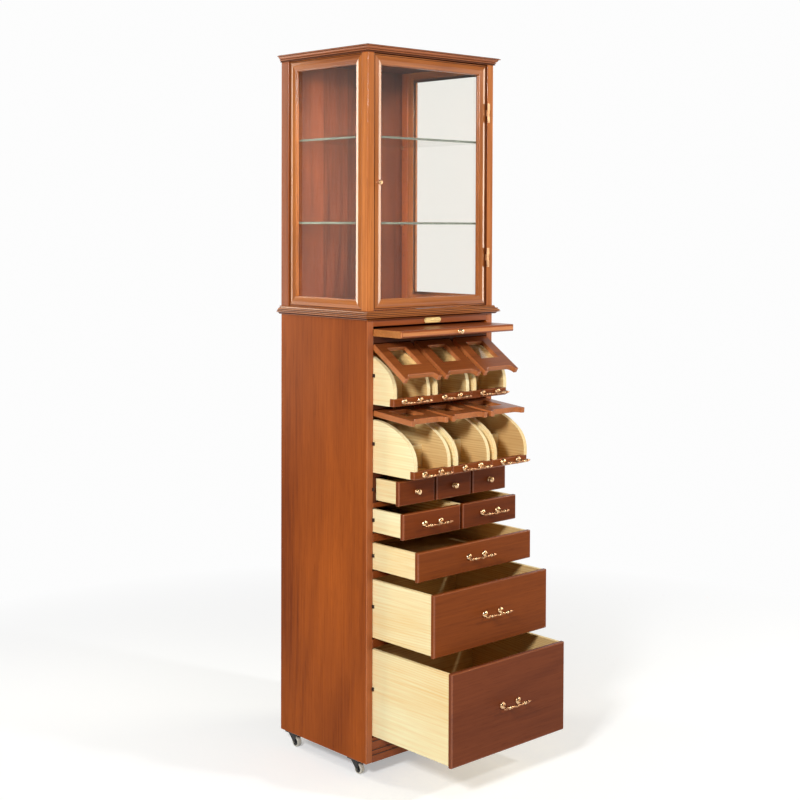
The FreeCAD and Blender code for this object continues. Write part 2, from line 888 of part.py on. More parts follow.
def drawers():
    """All eight drawers with their pulls or knobs."""
    middles = row3_places()[0]
    opening3 = 2 * (inner - dim.row3_filler)
    width3 = (opening3 - 2 * dim.row3_divider) / 3
    for place_name, middle in zip(("left", "middle", "right"), middles):
        name = f"drawer_3_{place_name}"
        drawer(name, middle, width3, row3_low, row3_high, dim.drawer3_out)
        at = (middle, front - dim.drawer3_out, (row3_low + row3_high) / 2)
        node(knob(f"knob_3_{place_name}", dim.knob_radius, dim.knob_reach, at),
             f"knob_3_{place_name}")
    width4 = inner - dim.row4_divider / 2
    for place_name, side in (("left", -1), ("right", 1)):
        middle = side * (dim.row4_divider / 2 + width4 / 2)
        drawer(f"drawer_4_{place_name}", middle, width4, row4_low, row4_high, dim.drawer4_out)
        pull_node(f"pull_4_{place_name}", middle, dim.drawer4_out, row4_low, row4_high)
    for row, low, high, out in (
        (5, row5_low, row5_high, dim.drawer5_out),
        (6, row6_low, row6_high, dim.drawer6_out),
        (7, row7_low, row7_high, dim.drawer7_out),
    ):
        drawer(f"drawer_{row}", size_of(0), 2 * inner, low, high, out)
        pull_node(f"pull_{row}", size_of(0), out, low, high)


def pull_node(label, middle, out, low, high):
    """A bow pull in the middle of a drawer front, as a node of its own."""
    at = (middle, front - out, (low + high) / 2 + dim.pull_rise)
    node(group(label, bow_pull(label, at)), label)


def slide():
    """The pull-out counter board with its knob."""
    low = slot_low + dim.slide_clearance
    near = front - dim.slide_out
    width = inner - dim.drawer_gap
    board = panel(
        "slide_board",
        [rectangle(-width, low, width, low + dim.slide_thickness)],
        dim.slide_depth, (0, near + dim.slide_depth, 0), FACING_FRONT,
    )
    node(ease_front(board, dim.slide_chamfer), "slide_board")
    at = (0, near, low + dim.slide_thickness / 2)
    node(knob("slide_knob", dim.slide_knob_radius, dim.slide_knob_reach, at), "slide_knob")


# ---------------------------------------------------------------- bins and lids

def bin_side_outline():
    """Side of a bin: notched for the lip, upright, then two arcs sweeping up to the top."""
    near, start = dim.curve_radius, dim.curve_start
    long, high = dim.curve_length, dim.curve_height
    flat = long - near
    far = (flat * flat + high * high - near * near) / (2 * (high - near))
    share = far / (far - near)
    meet = (long - flat * share, start + high - far + (far - high) * share)
    top = start + high
    return [
        (dim.lip_depth, 0), (dim.bin_depth, 0), (dim.bin_depth, top), (long, top, far),
        (*meet, near), (0, start), (0, dim.lip_height), (dim.lip_depth, dim.lip_height),
    ]


def lip_ends(name, middle):
    """Both ends of a bin's lip: it meets its neighbours, and is flush beside the case."""
    flush, meeting = lid_width / 2, (bin_pitch - dim.bin_gap) / 2
    return (middle - (flush if name == "left" else meeting),
            middle + (flush if name == "right" else meeting))


def bin_box(label, middle, low, out, ends):
    """A bin: two quadrant sides, lip with its pull, bottom, partition and back."""
    near = front - out
    foot = low + dim.bin_clearance
    left = middle - lid_width / 2
    right = middle + lid_width / 2
    wall = dim.bin_wall
    end = near + dim.bin_depth
    outline = bin_side_outline()
    lip_back = near + dim.lip_depth
    floor_top = foot + dim.bin_floor
    partition = near + dim.partition_depth
    pieces = [
        panel(f"{label}_left", [outline], wall, (left, near, foot), FACING_SIDE),
        panel(f"{label}_right", [outline], wall, (right - wall, near, foot), FACING_SIDE),
        block(f"{label}_lip", (ends[0], near, foot), (ends[1], lip_back, foot + dim.lip_height)),
        block(f"{label}_bottom", (left + wall, lip_back, foot), (right - wall, end, floor_top)),
        block(f"{label}_partition", (left + wall, partition, floor_top),
              (right - wall, partition + dim.box_wall, foot + dim.partition_height)),
        block(f"{label}_back", (left + wall, end - dim.box_wall, floor_top),
              (right - wall, end, foot + dim.bin_back_height)),
    ]
    pieces += bow_pull(f"{label}_pull", (middle, near, foot + dim.lip_height / 2 + dim.pull_rise))
    node(group(label, pieces), label)


def lid_outline():
    """Lid frame: square shoulders, and two horns joined by an arch at the free end."""
    width, long, tip = lid_width, dim.lid_length, dim.lid_length + dim.horn_length
    horn, radius = dim.horn_width, dim.horn_radius
    return [
        (0, 0), (0, -tip), (horn, -tip, -1.2 * radius), (horn + radius, -long),
        (width - horn - radius, -long, -1.2 * radius), (width - horn, -tip), (width, -tip),
        (width, 0),
    ]


def lid(label, middle, high, angle):
    """A glazed lid hinged along its top front edge, raised by an angle from upright."""
    at = (middle - lid_width / 2, front, high - dim.lid_gap)
    turn = FreeCAD.Rotation(X_AXIS, 90)
    stile, width = dim.lid_stile, lid_width
    low = dim.lid_bottom_rail - dim.lid_length
    top = -dim.lid_top_rail
    edge = dim.lid_rebate
    sight = rectangle(stile, low, width - stile, top)
    rebate = rectangle(stile - edge, low - edge, width - stile + edge, top + edge)
    face = dim.lid_thickness - dim.pane_thickness
    front_layer = panel(f"{label}_face", [lid_outline(), sight], face, (0, 0, 0),
                        downward=True)
    rear_layer = panel(f"{label}_rear", [lid_outline(), rebate], dim.pane_thickness,
                       (0, 0, -face), downward=True)
    frame = fused(f"{label}_frame", [front_layer, rear_layer])
    play = dim.glass_play / 2
    sheet = rectangle(stile - edge + play, low - edge + play,
                      width - stile + edge - play, top + edge - play)
    glass = panel(f"{label}_sheet", [sheet], dim.pane_thickness, (0, 0, -face), downward=True)
    for name, item in ((f"{label}_frame", frame), (f"{label}_glass", group(f"{label}_glass", [glass]))):
        place(item, at, turn)
        bind(item, ".Placement.Rotation.Angle", 90 - angle)
        node(item, name)


def bins():
    """Two rows of three bins with their lids."""
    for row, low, high, out, angle in (
        (1, row1_low, row1_high, dim.bin1_out, dim.lid1_angle),
        (2, row2_low, row2_high, dim.bin2_out, dim.lid2_angle),
    ):
        for name, middle in (("left", -bin_pitch), ("middle", size_of(0)), ("right", bin_pitch)):
            bin_box(f"bin_{row}_{name}", middle, low, out, lip_ends(name, middle))
            lid(f"lid_{row}_{name}", middle, high, angle)


# ---------------------------------------------------------------- casters

def caster_places():
    """Name, swivel axis and front-to-back place of the four casters."""
    across = half - dim.caster_side
    near, far = front + dim.caster_front, front + dim.caster_rear
    return (
        ("front_left", -across, near), ("front_right", across, near),
        ("rear_left", -across, far), ("rear_right", across, far),
    )


def casters():
    """Plates on the case, and a swivelling fork and a wheel under each."""
    plate_low = dim.foot_height - dim.plate_thickness
    edge = dim.plate_size / 2
    plates = []
    for name, across, depth in caster_places():
        plates.append(block(f"plate_{name}", (across - edge, depth - edge, plate_low),
                            (across + edge, depth + edge, dim.foot_height)))
        fork(name, across, depth, plate_low - dim.swivel_play)
        wheel(name, across, depth - dim.trail)
    node(group("caster_plates", plates), "caster_plates")


def fork(name, across, depth, high):
    """A pressed fork: square crown, two cheeks raked forward, and the axle between them."""
    inside = dim.wheel_width / 2 + dim.cheek_play
    outside = inside + dim.cheek_thickness
    crown_low = high - dim.crown_thickness
    axle, near = dim.wheel_radius, -dim.crown_reach
    boss = 2 * dim.axle_radius
    raked = [
        (near, crown_low), (-dim.trail - boss, axle, NEAR_ROUND * boss),
        (boss - dim.trail, axle), (dim.crown_reach, crown_low),
    ]
    pieces = [block(f"fork_{name}_crown", (across - outside, depth + near, crown_low),
                    (across + outside, depth + dim.crown_reach, high))]
    for side, at in (("left", across - outside), ("right", across + inside)):
        pieces.append(panel(f"fork_{name}_{side}", [raked], dim.cheek_thickness,
                            (at, depth, 0), FACING_SIDE))
    pieces.append(rod(f"fork_{name}_axle", dim.axle_radius, 2 * outside,
                      (across - outside, depth - dim.trail, axle),
                      FreeCAD.Rotation(FreeCAD.Vector(0, 1, 0), 90)))
    node(fused(f"fork_{name}", pieces), f"fork_{name}")


def wheel(name, across, depth):
    """A caster wheel: a solid disc bored for the axle."""
    width, radius = dim.wheel_width / 2, dim.wheel_radius
    bore = dim.axle_radius + dim.axle_play
    section = [(bore, -width), (radius, -width), (radius, width), (bore, width)]
    disc = turned(f"wheel_{name}", section, (across, depth, radius),
                  FreeCAD.Rotation(Z_AXIS, 90))
    node(disc, f"wheel_{name}")


# ---------------------------------------------------------------- whole cabinet

def check_document():
    """Stop if an object failed, or a sub-part has no valid solid."""
    for item in DOC.Objects:
        if "Invalid" in item.State or "Error" in item.State:
            raise RuntimeError(f"{item.Name} failed: {item.State}")
    for item in NODES:
        if item.Shape.isNull() or not item.Shape.isValid() or not item.Shape.Solids:
            raise RuntimeError(f"{item.Label} has no valid solid")


def export_nodes():
    """Write each sub-part to its own STEP file."""
    os.makedirs("parts", exist_ok=True)
    for item in NODES:
        item.Shape.exportStep(f"parts/{item.Label}.step")


def build():
    """Make the whole cabinet."""
    fill_sheet()
    case()
    front_rails()
    drawer_guides()
    moulded_board("waist_moulding", waist_profile(), dim.waist_overhang, waist_low, display_low)
    moulded_board("cornice", cornice_profile(), dim.cornice_overhang, display_high, total_height)
    display()
    case_brass()
    door()
    slide()
    bins()
    drawers()
    casters()
    DOC.recompute()
    check_document()
    export_nodes()
    print(len(NODES), "sub-parts,", sum(len(item.Shape.Solids) for item in NODES), "solids")


build()
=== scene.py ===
"""Looks for a haberdashery cabinet: finer meshes, finishes, light and camera.

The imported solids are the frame. Boards are copied from them with eased edges, mouldings,
brass and casters are built anew in the same places, and every piece rides on its body.
Lengths are metres; MM turns a size in millimetres into one.
"""

from __future__ import annotations

import logging
import math
from dataclasses import dataclass, field
from enum import Enum
from functools import cache
from typing import Callable, Iterable, Sequence

import bmesh
import bpy
from mathutils import Matrix, Vector

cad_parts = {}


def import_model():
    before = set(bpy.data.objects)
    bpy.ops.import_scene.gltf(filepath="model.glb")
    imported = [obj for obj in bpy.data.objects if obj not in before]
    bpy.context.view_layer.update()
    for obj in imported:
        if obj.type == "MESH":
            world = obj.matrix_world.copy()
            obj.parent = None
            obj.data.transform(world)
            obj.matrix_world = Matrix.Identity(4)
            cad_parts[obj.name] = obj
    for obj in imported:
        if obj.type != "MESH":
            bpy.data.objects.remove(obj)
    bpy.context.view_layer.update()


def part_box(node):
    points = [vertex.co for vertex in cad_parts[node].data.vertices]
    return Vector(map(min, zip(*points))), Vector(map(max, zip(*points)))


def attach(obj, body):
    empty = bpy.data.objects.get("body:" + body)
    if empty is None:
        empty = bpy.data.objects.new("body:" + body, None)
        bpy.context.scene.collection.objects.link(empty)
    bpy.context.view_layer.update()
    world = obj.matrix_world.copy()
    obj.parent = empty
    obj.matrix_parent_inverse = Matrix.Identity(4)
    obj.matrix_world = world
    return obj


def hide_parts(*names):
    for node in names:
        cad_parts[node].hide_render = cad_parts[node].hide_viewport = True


LOG = logging.getLogger("cabinet")
MM = 0.001
GRAIN = "grain"
ROWS = (1, 2)
SIDES = ("left", "middle", "right")
FACING = 0.9  # cosine past which a face looks along an axis
Color = tuple[float, float, float]
Profile = list[tuple[float, float]]
Ring = list[bmesh.types.BMVert]


class Axis(Enum):
    """Direction of a board's grain; LONGEST takes the board's longest side."""

    X = 0
    Y = 1
    LONGEST = 2


class Carries(Enum):
    """What a socket of a node group carries."""

    NUMBER = "NodeSocketFloat"
    COUNT = "NodeSocketInt"
    VECTOR = "NodeSocketVector"
    COLOR = "NodeSocketColor"
    MATERIAL = "NodeSocketMaterial"
    GEOMETRY = "NodeSocketGeometry"


# ------------------------------------------------------------------ shader building


def linear(step: int) -> float:
    """Linear light of one everyday 0 to 255 step."""
    share = step / 255
    return share / 12.92 if share <= 0.04045 else ((share + 0.055) / 1.055) ** 2.4


def srgb(red: int, green: int, blue: int) -> Color:
    """A colour given in everyday 0 to 255 steps, as linear light."""
    return linear(red), linear(green), linear(blue)


class Tree:
    """A node tree under construction, with short calls for the nodes that repeat."""

    mix_first, mix_second, mix_result = 6, 7, 2  # a Mix node's colour sockets, by place

    def __init__(self, tree: bpy.types.NodeTree) -> None:
        """Starts on an empty tree."""
        self.tree = tree
        tree.nodes.clear()

    def node(self, kind: str, feeds: dict[int | str, object] | None = None,
             **settings: object) -> bpy.types.bpy_prop_collection:
        """Adds a node.

        Args:
            kind: the node's Blender type.
            feeds: an output or a plain value for each input, by its name or place.
            settings: properties set on the node.

        Returns:
            The new node's outputs.
        """
        made = self.tree.nodes.new(kind)
        for name, value in settings.items():
            setattr(made, name, value)
        for place, value in (feeds or {}).items():
            self.feed(made.inputs[place], value)
        return made.outputs

    def feed(self, socket: bpy.types.NodeSocket, value: object) -> None:
        """Links an output to a socket, or sets the socket to a plain value.

        Args:
            socket: the input to feed.
            value: an output, or a number, colour or vector.
        """
        if isinstance(value, bpy.types.NodeSocket):
            self.tree.links.new(value, socket)
        elif socket.type == "RGBA":
            socket.default_value = (*value, 1.0)
        else:
            socket.default_value = value

    def math(self, operation: str, first: object, second: object = 0.0,
             clamp: bool = False) -> bpy.types.NodeSocket:
        """One step of arithmetic on numbers or outputs, and its result."""
        return self.node("ShaderNodeMath", {0: first, 1: second}, operation=operation,
                         use_clamp=clamp)[0]

    def plus(self, first: object, second: object, clamp: bool = False) -> bpy.types.NodeSocket:
        """The sum of two values."""
        return self.math("ADD", first, second, clamp)

    def minus(self, first: object, second: object) -> bpy.types.NodeSocket:
        """The first value less the second."""
        return self.math("SUBTRACT", first, second)

    def times(self, first: object, second: object, clamp: bool = False) -> bpy.types.NodeSocket:
        """The product of two values."""
        return self.math("MULTIPLY", first, second, clamp)

    def larger(self, first: object, second: object) -> bpy.types.NodeSocket:
        """The larger of two values."""
        return self.math("MAXIMUM", first, second)

    def ramp(self, value: object, start: float, slope: float) -> bpy.types.NodeSocket:
        """How far a value is past a start, times a slope, kept between 0 and 1."""
        return self.times(self.minus(value, start), slope, clamp=True)

    def mix(self, share: object, first: object, second: object,
            blend: str = "MIX") -> bpy.types.NodeSocket:
        """A blend of two colours, and its result."""
        feeds = {0: share, self.mix_first: first, self.mix_second: second}
        return self.node("ShaderNodeMix", feeds, data_type="RGBA", blend_type=blend)[self.mix_result]

    def noise(self, vector: object, stretch: Sequence[float], detail: float = 2.0,
              roughness: float = 0.5) -> bpy.types.NodeSocket:
        """Noise on coordinates stretched along each axis.

        Args:
            vector: the coordinates, in metres.
            stretch: how many times a metre holds the pattern, along each axis.
            detail: octaves of finer noise.
            roughness: how strong the finer octaves are.

        Returns:
            The noise value, from 0 to 1.
        """
        scaled = self.node("ShaderNodeVectorMath", {0: vector, 1: stretch}, operation="MULTIPLY")
        return self.node("ShaderNodeTexNoise", {
            "Vector": scaled[0], "Scale": 1.0, "Detail": detail, "Roughness": roughness})[0]

    def relief(self, height: object, strength: float, depth: float) -> bpy.types.NodeSocket:
        """Normals of a surface with fine relief."""
        return self.node("ShaderNodeBump", {
            "Strength": strength, "Distance": depth, "Height": height})["Normal"]

    def wear(self, amount: float) -> bpy.types.bpy_prop_collection:
        """Lays the wear group over the piece.

        Args:
            amount: how strong its mask is.

        Returns:
            The group's outputs.
        """
        where = self.node("ShaderNodeTexCoord")["Object"]
        return self.node("ShaderNodeGroup", {"Vector": where, "Amount": amount},
                         node_tree=hand_wear())


def new_material(name: str) -> tuple[bpy.types.Material, Tree]:
    """Starts a material.

    Args:
        name: the material's name.

    Returns:
        The material and its empty tree.
    """
    material = bpy.data.materials.new(name)
    material.use_nodes = True
    return material, Tree(material.node_tree)


def open_group(name: str, kind: str, takes: dict[str, Carries],
               gives: dict[str, Carries]) -> tuple[Tree, bpy.types.bpy_prop_collection]:
    """Starts a node group.

    Args:
        name: the group's name.
        kind: the Blender type of its tree.
        takes: its inputs.
        gives: its outputs.

    Returns:
        The tree and what comes in through its inputs.
    """
    group = bpy.data.node_groups.new(name, kind)
    for way, sockets in (("INPUT", takes), ("OUTPUT", gives)):
        for title, carries in sockets.items():
            group.interface.new_socket(title, in_out=way, socket_type=carries.value)
    tree = Tree(group)
    return tree, tree.node("NodeGroupInput")


@cache
def wood_figure() -> bpy.types.NodeTree:
    """Builds the grain group: growth rings, fine streaks, pores and stain blotches.

    Returns:
        A group that takes board coordinates with the grain along x.
    """
    amounts = ("Rings", "Wander", "Figure", "Streak", "Pores", "Blotch", "Staves")
    tree, given = open_group(
        "wood_figure", "ShaderNodeTree",
        {"Vector": Carries.VECTOR, "Light": Carries.COLOR, "Dark": Carries.COLOR,
         **dict.fromkeys(amounts, Carries.NUMBER)},
        {"Color": Carries.COLOR, "Height": Carries.NUMBER, "Dullness": Carries.NUMBER})
    where, staves = given["Vector"], given["Staves"]
    apart = tree.node("ShaderNodeSeparateXYZ", {0: where})
    slant, sharpness, ring_middle = 0.7, 3.0, 0.3
    across = tree.plus(apart[1], tree.times(apart[2], slant))
    wander = tree.times(tree.noise(where, (0.9, 4.5, 4.5)), given["Wander"])
    turns = tree.plus(tree.times(across, given["Rings"]), wander)
    wave = tree.math("SINE", tree.times(turns, math.tau))
    ring = tree.math("POWER", tree.plus(tree.times(wave, 0.5), 0.5), sharpness)
    figured = tree.ramp(tree.noise(where, (1.3, 9.0, 9.0)), 0.3, 2.5)
    streak = tree.minus(tree.noise(where, (4.0, 170.0, 170.0), 4.0, 0.62), 0.5)
    blotch = tree.minus(tree.noise(where, (1.7, 6.0, 6.0), 3.0), 0.5)
    share = tree.times(tree.times(tree.minus(ring_middle, ring), figured), given["Figure"])
    share = tree.plus(share, tree.times(streak, given["Streak"]))
    share = tree.plus(share, tree.times(blotch, given["Blotch"]))
    stave_contrast, seam_width = 0.4, 0.03
    place = tree.times(apart[1], staves)
    tone = tree.node("ShaderNodeTexWhiteNoise", {"W": tree.math("FLOOR", place)},
                     noise_dimensions="1D")["Value"]
    glued = tree.times(tree.math("MINIMUM", staves, 1.0), stave_contrast)
    share = tree.plus(share, tree.times(glued, tree.minus(tone, 0.5)))
    seam = tree.math("LESS_THAN", tree.math("FRACT", place), seam_width)
    share = tree.plus(tree.minus(share, tree.times(glued, seam)), 0.5, clamp=True)
    color = tree.mix(share, given["Dark"], given["Light"])
    pore_tone, dull_streak = (0.42, 0.36, 0.32), 0.3
    pore = tree.ramp(tree.noise(where, (18.0, 700.0, 700.0), 1.0), 0.60, 9.0)
    pore = tree.times(pore, given["Pores"])
    tree.node("NodeGroupOutput", {
        "Color": tree.mix(pore, color, tree.mix(1.0, color, pore_tone, "MULTIPLY")),
        "Height": tree.minus(share, pore),
        "Dullness": tree.plus(tree.times(streak, dull_streak), pore)})
    return tree.tree


@cache
def hand_wear() -> bpy.types.NodeTree:
    """Builds the wear group.

    Returns:
        A group that gives a soft patchy mask and fine relief for metal, glass and enamel.
    """
    tree, given = open_group(
        "hand_wear", "ShaderNodeTree", {"Vector": Carries.VECTOR, "Amount": Carries.NUMBER},
        {"Mask": Carries.NUMBER, "Height": Carries.NUMBER})
    patch = tree.noise(given["Vector"], (60.0, 60.0, 60.0), 4.0, 0.6)
    tree.node("NodeGroupOutput", {
        "Mask": tree.times(tree.ramp(patch, 0.42, 4.0), given["Amount"]),
        "Height": tree.noise(given["Vector"], (900.0, 900.0, 900.0))})
    return tree.tree


@dataclass(frozen=True)
class Wood:
    """A wood finish; the grain runs along x of the board's own coordinates."""

    name: str
    slot: str
    light: Color
    dark: Color
    rings: float = 22.0
    wander: float = 5.0
    figure: float = 0.25
    streak: float = 0.9
    pores: float = 0.4
    blotch: float = 0.8
    staves: float = 0.0
    roughness: float = 0.4
    dulled: float = 0.25
    specular: float = 0.1
    coat: float = 0.0
    coat_roughness: float = 0.12
    bump: float = 0.2
    depth: float = 0.3 * MM

    def build(self) -> bpy.types.Material:
        """Builds the material.

        Returns:
            The material, on the grain coordinates of the board.
        """
        material, tree = new_material(self.name)
        where = tree.node("ShaderNodeAttribute", attribute_name=GRAIN)
        grain = tree.node("ShaderNodeGroup", {
            "Vector": where["Vector"], "Light": self.light, "Dark": self.dark,
            "Rings": self.rings, "Wander": self.wander, "Figure": self.figure,
            "Streak": self.streak, "Pores": self.pores, "Blotch": self.blotch,
            "Staves": self.staves}, node_tree=wood_figure())
        dull = tree.times(grain["Dullness"], self.dulled)
        shader = tree.node("ShaderNodeBsdfPrincipled", {
            "Base Color": grain["Color"], "Roughness": tree.plus(dull, self.roughness, clamp=True),
            "Normal": tree.relief(grain["Height"], self.bump, self.depth),
            "Specular IOR Level": self.specular, "Coat Weight": self.coat,
            "Coat Roughness": self.coat_roughness})
        tree.node("ShaderNodeOutputMaterial", {"Surface": shader["BSDF"]})
        return material


@dataclass(frozen=True)
class Solid:
    """A finish of one worn colour: metal, enamel, tread or shadowed wood."""

    name: str
    slot: str
    color: Color
    worn: Color
    metallic: float = 0.0
    roughness: float = 0.4
    wear: float = 0.5
    dulled: float = 0.25
    bump: float = 0.1
    depth: float = 0.1 * MM

    def build(self) -> bpy.types.Material:
        """Builds the material.

        Returns:
            The material, on the piece's own coordinates.
        """
        material, tree = new_material(self.name)
        wear = tree.wear(self.wear)
        shader = tree.node("ShaderNodeBsdfPrincipled", {
            "Base Color": tree.mix(wear["Mask"], self.color, self.worn),
            "Roughness": tree.plus(tree.times(wear["Mask"], self.dulled), self.roughness),
            "Normal": tree.relief(wear["Height"], self.bump, self.depth),
            "Metallic": self.metallic})
        tree.node("ShaderNodeOutputMaterial", {"Surface": shader["BSDF"]})
        return material


@dataclass(frozen=True)
class Glazing:
    """Clear glass that lets lamp light through to what is behind it."""

    name: str
    slot: str
    tint: Color
    transmission: float = 1.0
    roughness: float = 0.015
    wear: float = 0.12
    dulled: float = 0.05
    refraction: float = 1.45

    def build(self) -> bpy.types.Material:
        """Builds the material.

        Returns:
            The material, clear to shadow rays.
        """
        material, tree = new_material(self.name)
        smears = tree.times(tree.wear(self.wear)["Mask"], self.dulled)
        shader = tree.node("ShaderNodeBsdfPrincipled", {
            "Base Color": self.tint, "Transmission Weight": self.transmission,
            "IOR": self.refraction, "Roughness": tree.plus(smears, self.roughness)})
        through = tree.node("ShaderNodeBsdfTransparent", {"Color": self.tint})
        path = tree.node("ShaderNodeLightPath")
        either = tree.node("ShaderNodeMixShader", {
            0: path["Is Shadow Ray"], 1: shader["BSDF"], 2: through["BSDF"]})
        tree.node("ShaderNodeOutputMaterial", {"Surface": either["Shader"]})
        return material


Finish = Wood | Solid | Glazing


@cache
def material_of(finish: Finish) -> bpy.types.Material:
    """The material of a finish, built when it is first used."""
    return finish.build()


LACQUER = {"roughness": 0.22, "specular": 0.4, "coat": 0.5}
WAXED = {"roughness": 0.3, "specular": 0.3}
SANDED = {"roughness": 0.35, "specular": 0.25}
FIR = {"rings": 210.0, "wander": 14.0, "streak": 1.0, "pores": 0.05}
CASE = Wood("case_wood", "case_wood", srgb(180, 90, 27), srgb(118, 50, 8), blotch=1.4,
            staves=13.9)
# Paler than the flats: a painted highlight along eased edges, on top of the lacquer's gloss.
CASE_EDGE = Wood("case_wood_edge", "case_wood", srgb(206, 118, 56), srgb(156, 76, 30), **LACQUER)
# Paler narrow faces of the boards, partly as painted sheen.
CASE_RIM = Wood("case_wood_rim", "case_wood", srgb(200, 118, 70), srgb(150, 76, 38), **SANDED)
# The lit copy for the front display posts; the rear posts take RAIL as painted shade.
POST = Wood("post_wood", "case_wood", srgb(222, 136, 70), srgb(154, 82, 36), figure=0.35,
            blotch=1.5)
RAIL = Wood("rail_wood", "case_wood", srgb(174, 90, 40), srgb(118, 54, 20), **WAXED)
# Paler narrow faces of the slide board, partly as painted reflection.
SLIDE_RIM = Wood("slide_wood_rim", "front_wood", srgb(228, 148, 88), srgb(176, 102, 56), **SANDED)
# Paler than the flats: a painted highlight along eased edges, on top of the lacquer's gloss.
RAIL_EDGE = Wood("rail_wood_edge", "case_wood", srgb(190, 104, 52), srgb(130, 62, 26), **LACQUER)
FRAME = Wood("moulding_wood", "case_wood", srgb(212, 130, 66), srgb(126, 62, 26), rings=30.0,
             wander=3.0, figure=0.35, blotch=1.4, **LACQUER)
# Painted shade: the dark colour of the moulding grooves, where shade falls in the creases.
GROOVE_SHADE = Wood("groove_wood", "case_wood", srgb(92, 44, 18), srgb(60, 27, 10), roughness=0.5)
CORNICE = Wood("cornice_wood", "case_wood", srgb(190, 110, 64), srgb(118, 62, 32), rings=30.0,
               wander=3.0, **WAXED)
FRONT = Wood("front_wood", "front_wood", srgb(146, 72, 24), srgb(106, 48, 14))
# Darker than FRONT: painted shade for rows 3 and 4, under the bins.
FRONT_SHADED = Wood("small_front_wood", "front_wood", srgb(130, 60, 20), srgb(94, 40, 10))
# Cooler than FRONT, partly as a painted reflected wash on the bottom drawer's front.
FRONT_DEEP = Wood("deep_front_wood", "front_wood", srgb(134, 68, 36), srgb(102, 48, 25))
# Paler than the flats: a painted highlight along eased edges, on top of the lacquer's gloss.
FRONT_EDGE = Wood("front_wood_edge", "front_wood", srgb(168, 90, 42), srgb(112, 52, 20),
                  **LACQUER)
LID = Wood("lid_wood", "lid_wood", srgb(166, 92, 44), srgb(108, 53, 23), roughness=0.3,
           specular=0.35)
# Paler than the flats: a painted highlight along eased edges, on top of the lacquer's gloss.
LID_EDGE = Wood("lid_wood_edge", "lid_wood", srgb(206, 126, 78), srgb(150, 80, 44), **LACQUER)
# Paler lid edges, partly as painted highlight.
LID_RIM = Wood("lid_wood_rim", "lid_wood", srgb(204, 124, 68), srgb(150, 84, 42),
               roughness=0.35, specular=0.3)
RAW = Wood("raw_wood", "case_wood", srgb(212, 142, 78), srgb(150, 84, 38), rings=190.0,
           figure=0.5, roughness=0.55)
# Dark interior wood, darker still as painted shade for the recesses between rows.
INNER = Wood("inner_wood", "inner_wood", srgb(106, 54, 30), srgb(62, 30, 16), roughness=0.6)
PANEL = Wood("panel_wood", "inner_wood", srgb(124, 64, 37), srgb(66, 30, 18), blotch=1.7,
             figure=0.32, wander=7.0, staves=11.0, roughness=0.45)
PINE = Wood("pine", "pine", srgb(255, 249, 205), srgb(240, 196, 124), figure=0.26, blotch=1.1,
            roughness=0.6, specular=0.08, **FIR)
# Painted shade and bounce light: darker, more golden pine for faces inside drawers and bins.
PINE_INSIDE_SHADE = Wood("pine_inside", "pine", srgb(238, 210, 150), srgb(200, 150, 88), figure=0.6,
                  blotch=1.2, roughness=0.6, specular=0.06, **FIR)
PINE_EDGE = Wood("pine_edge", "pine", srgb(250, 234, 184), srgb(228, 176, 102), figure=0.3,
                 blotch=0.9, roughness=0.55, **FIR)
BRASS = Solid("brass", "brass", srgb(252, 216, 168), srgb(150, 92, 58), 1.0, 0.22, 0.8)
BAR_BRASS = Solid("bar_brass", "brass", srgb(220, 164, 118), srgb(104, 56, 38), 1.0, 0.24, 0.9)
HINGE_BRASS = Solid("hinge_brass", "brass", srgb(226, 180, 134), srgb(140, 92, 60), 1.0, 0.4, 0.5)
PLATE = Solid("pale_brass", "brass", srgb(250, 224, 160), srgb(214, 170, 98), 1.0, 0.42, 0.3)
STEEL = Solid("screw_steel", "caster_metal", srgb(120, 118, 112), srgb(70, 66, 60), 1.0, 0.3)
ENAMEL = Solid("black_enamel", "caster_metal", srgb(32, 32, 33), srgb(60, 58, 56), 0.3, 0.3)
CORE = Solid("wheel_core", "tyre", srgb(24, 24, 24), srgb(44, 42, 40))
TREAD = Solid("pale_tread", "tyre", srgb(206, 202, 190), srgb(150, 144, 130), 0.0, 0.35)
# Near-black: painted shade for the reed lines and pin holes, and the colour of the dark guide ends.
SHADOW = Solid("dark_stain", "inner_wood", srgb(40, 22, 16), srgb(62, 36, 26), 0.0, 0.6)
GLASS = Glazing("clear_glass", "glass", (0.974, 0.966, 0.932))
GLASS_EDGE = Glazing("glass_edge", "glass", srgb(146, 154, 142), 0.7, 0.12)


# ------------------------------------------------------------------ mesh building


def arc(centre: tuple[float, float], radius: float, start: float, end: float,
        steps: int) -> Profile:
    """Points on an arc.

    Args:
        centre: the arc's centre.
        radius: its radius.
        start: first angle in degrees.
        end: last angle in degrees.
        steps: straight runs along it.

    Returns:
        The points, both ends included.
    """
    turns = [math.radians(start + (end - start) * n / steps) for n in range(steps + 1)]
    return [(centre[0] + radius * math.cos(a), centre[1] + radius * math.sin(a)) for a in turns]


def bounds_of(part: bmesh.types.BMesh) -> tuple[Vector, Vector]:
    """Box of a mesh under construction.

    Args:
        part: the mesh.

    Returns:
        Its lowest and highest corners.
    """
    spots = [vert.co for vert in part.verts]
    return (Vector([min(spot[i] for spot in spots) for i in range(3)]),
            Vector([max(spot[i] for spot in spots) for i in range(3)]))


def turned_at(at: Sequence[float], degrees: float, axis: str) -> Matrix:
    """A turn about an axis and then a move to a place."""
    return Matrix.Translation(at) @ Matrix.Rotation(math.radians(degrees), 4, axis)


def facing_front(at: Vector) -> Matrix:
    """Puts a turned part's axis along -Y, its foot at a point."""
    return turned_at(at, 90, "X")


def block(low: Vector, high: Vector) -> bmesh.types.BMesh:
    """A plain board between two corners.

    Args:
        low: its lowest corner.
        high: its highest corner.

    Returns:
        The part.
    """
    part = bmesh.new()
    place = Matrix.Translation((low + high) / 2) @ Matrix.Diagonal((*(high - low), 1.0))
    bmesh.ops.create_cube(part, size=1.0, matrix=place)
    return part


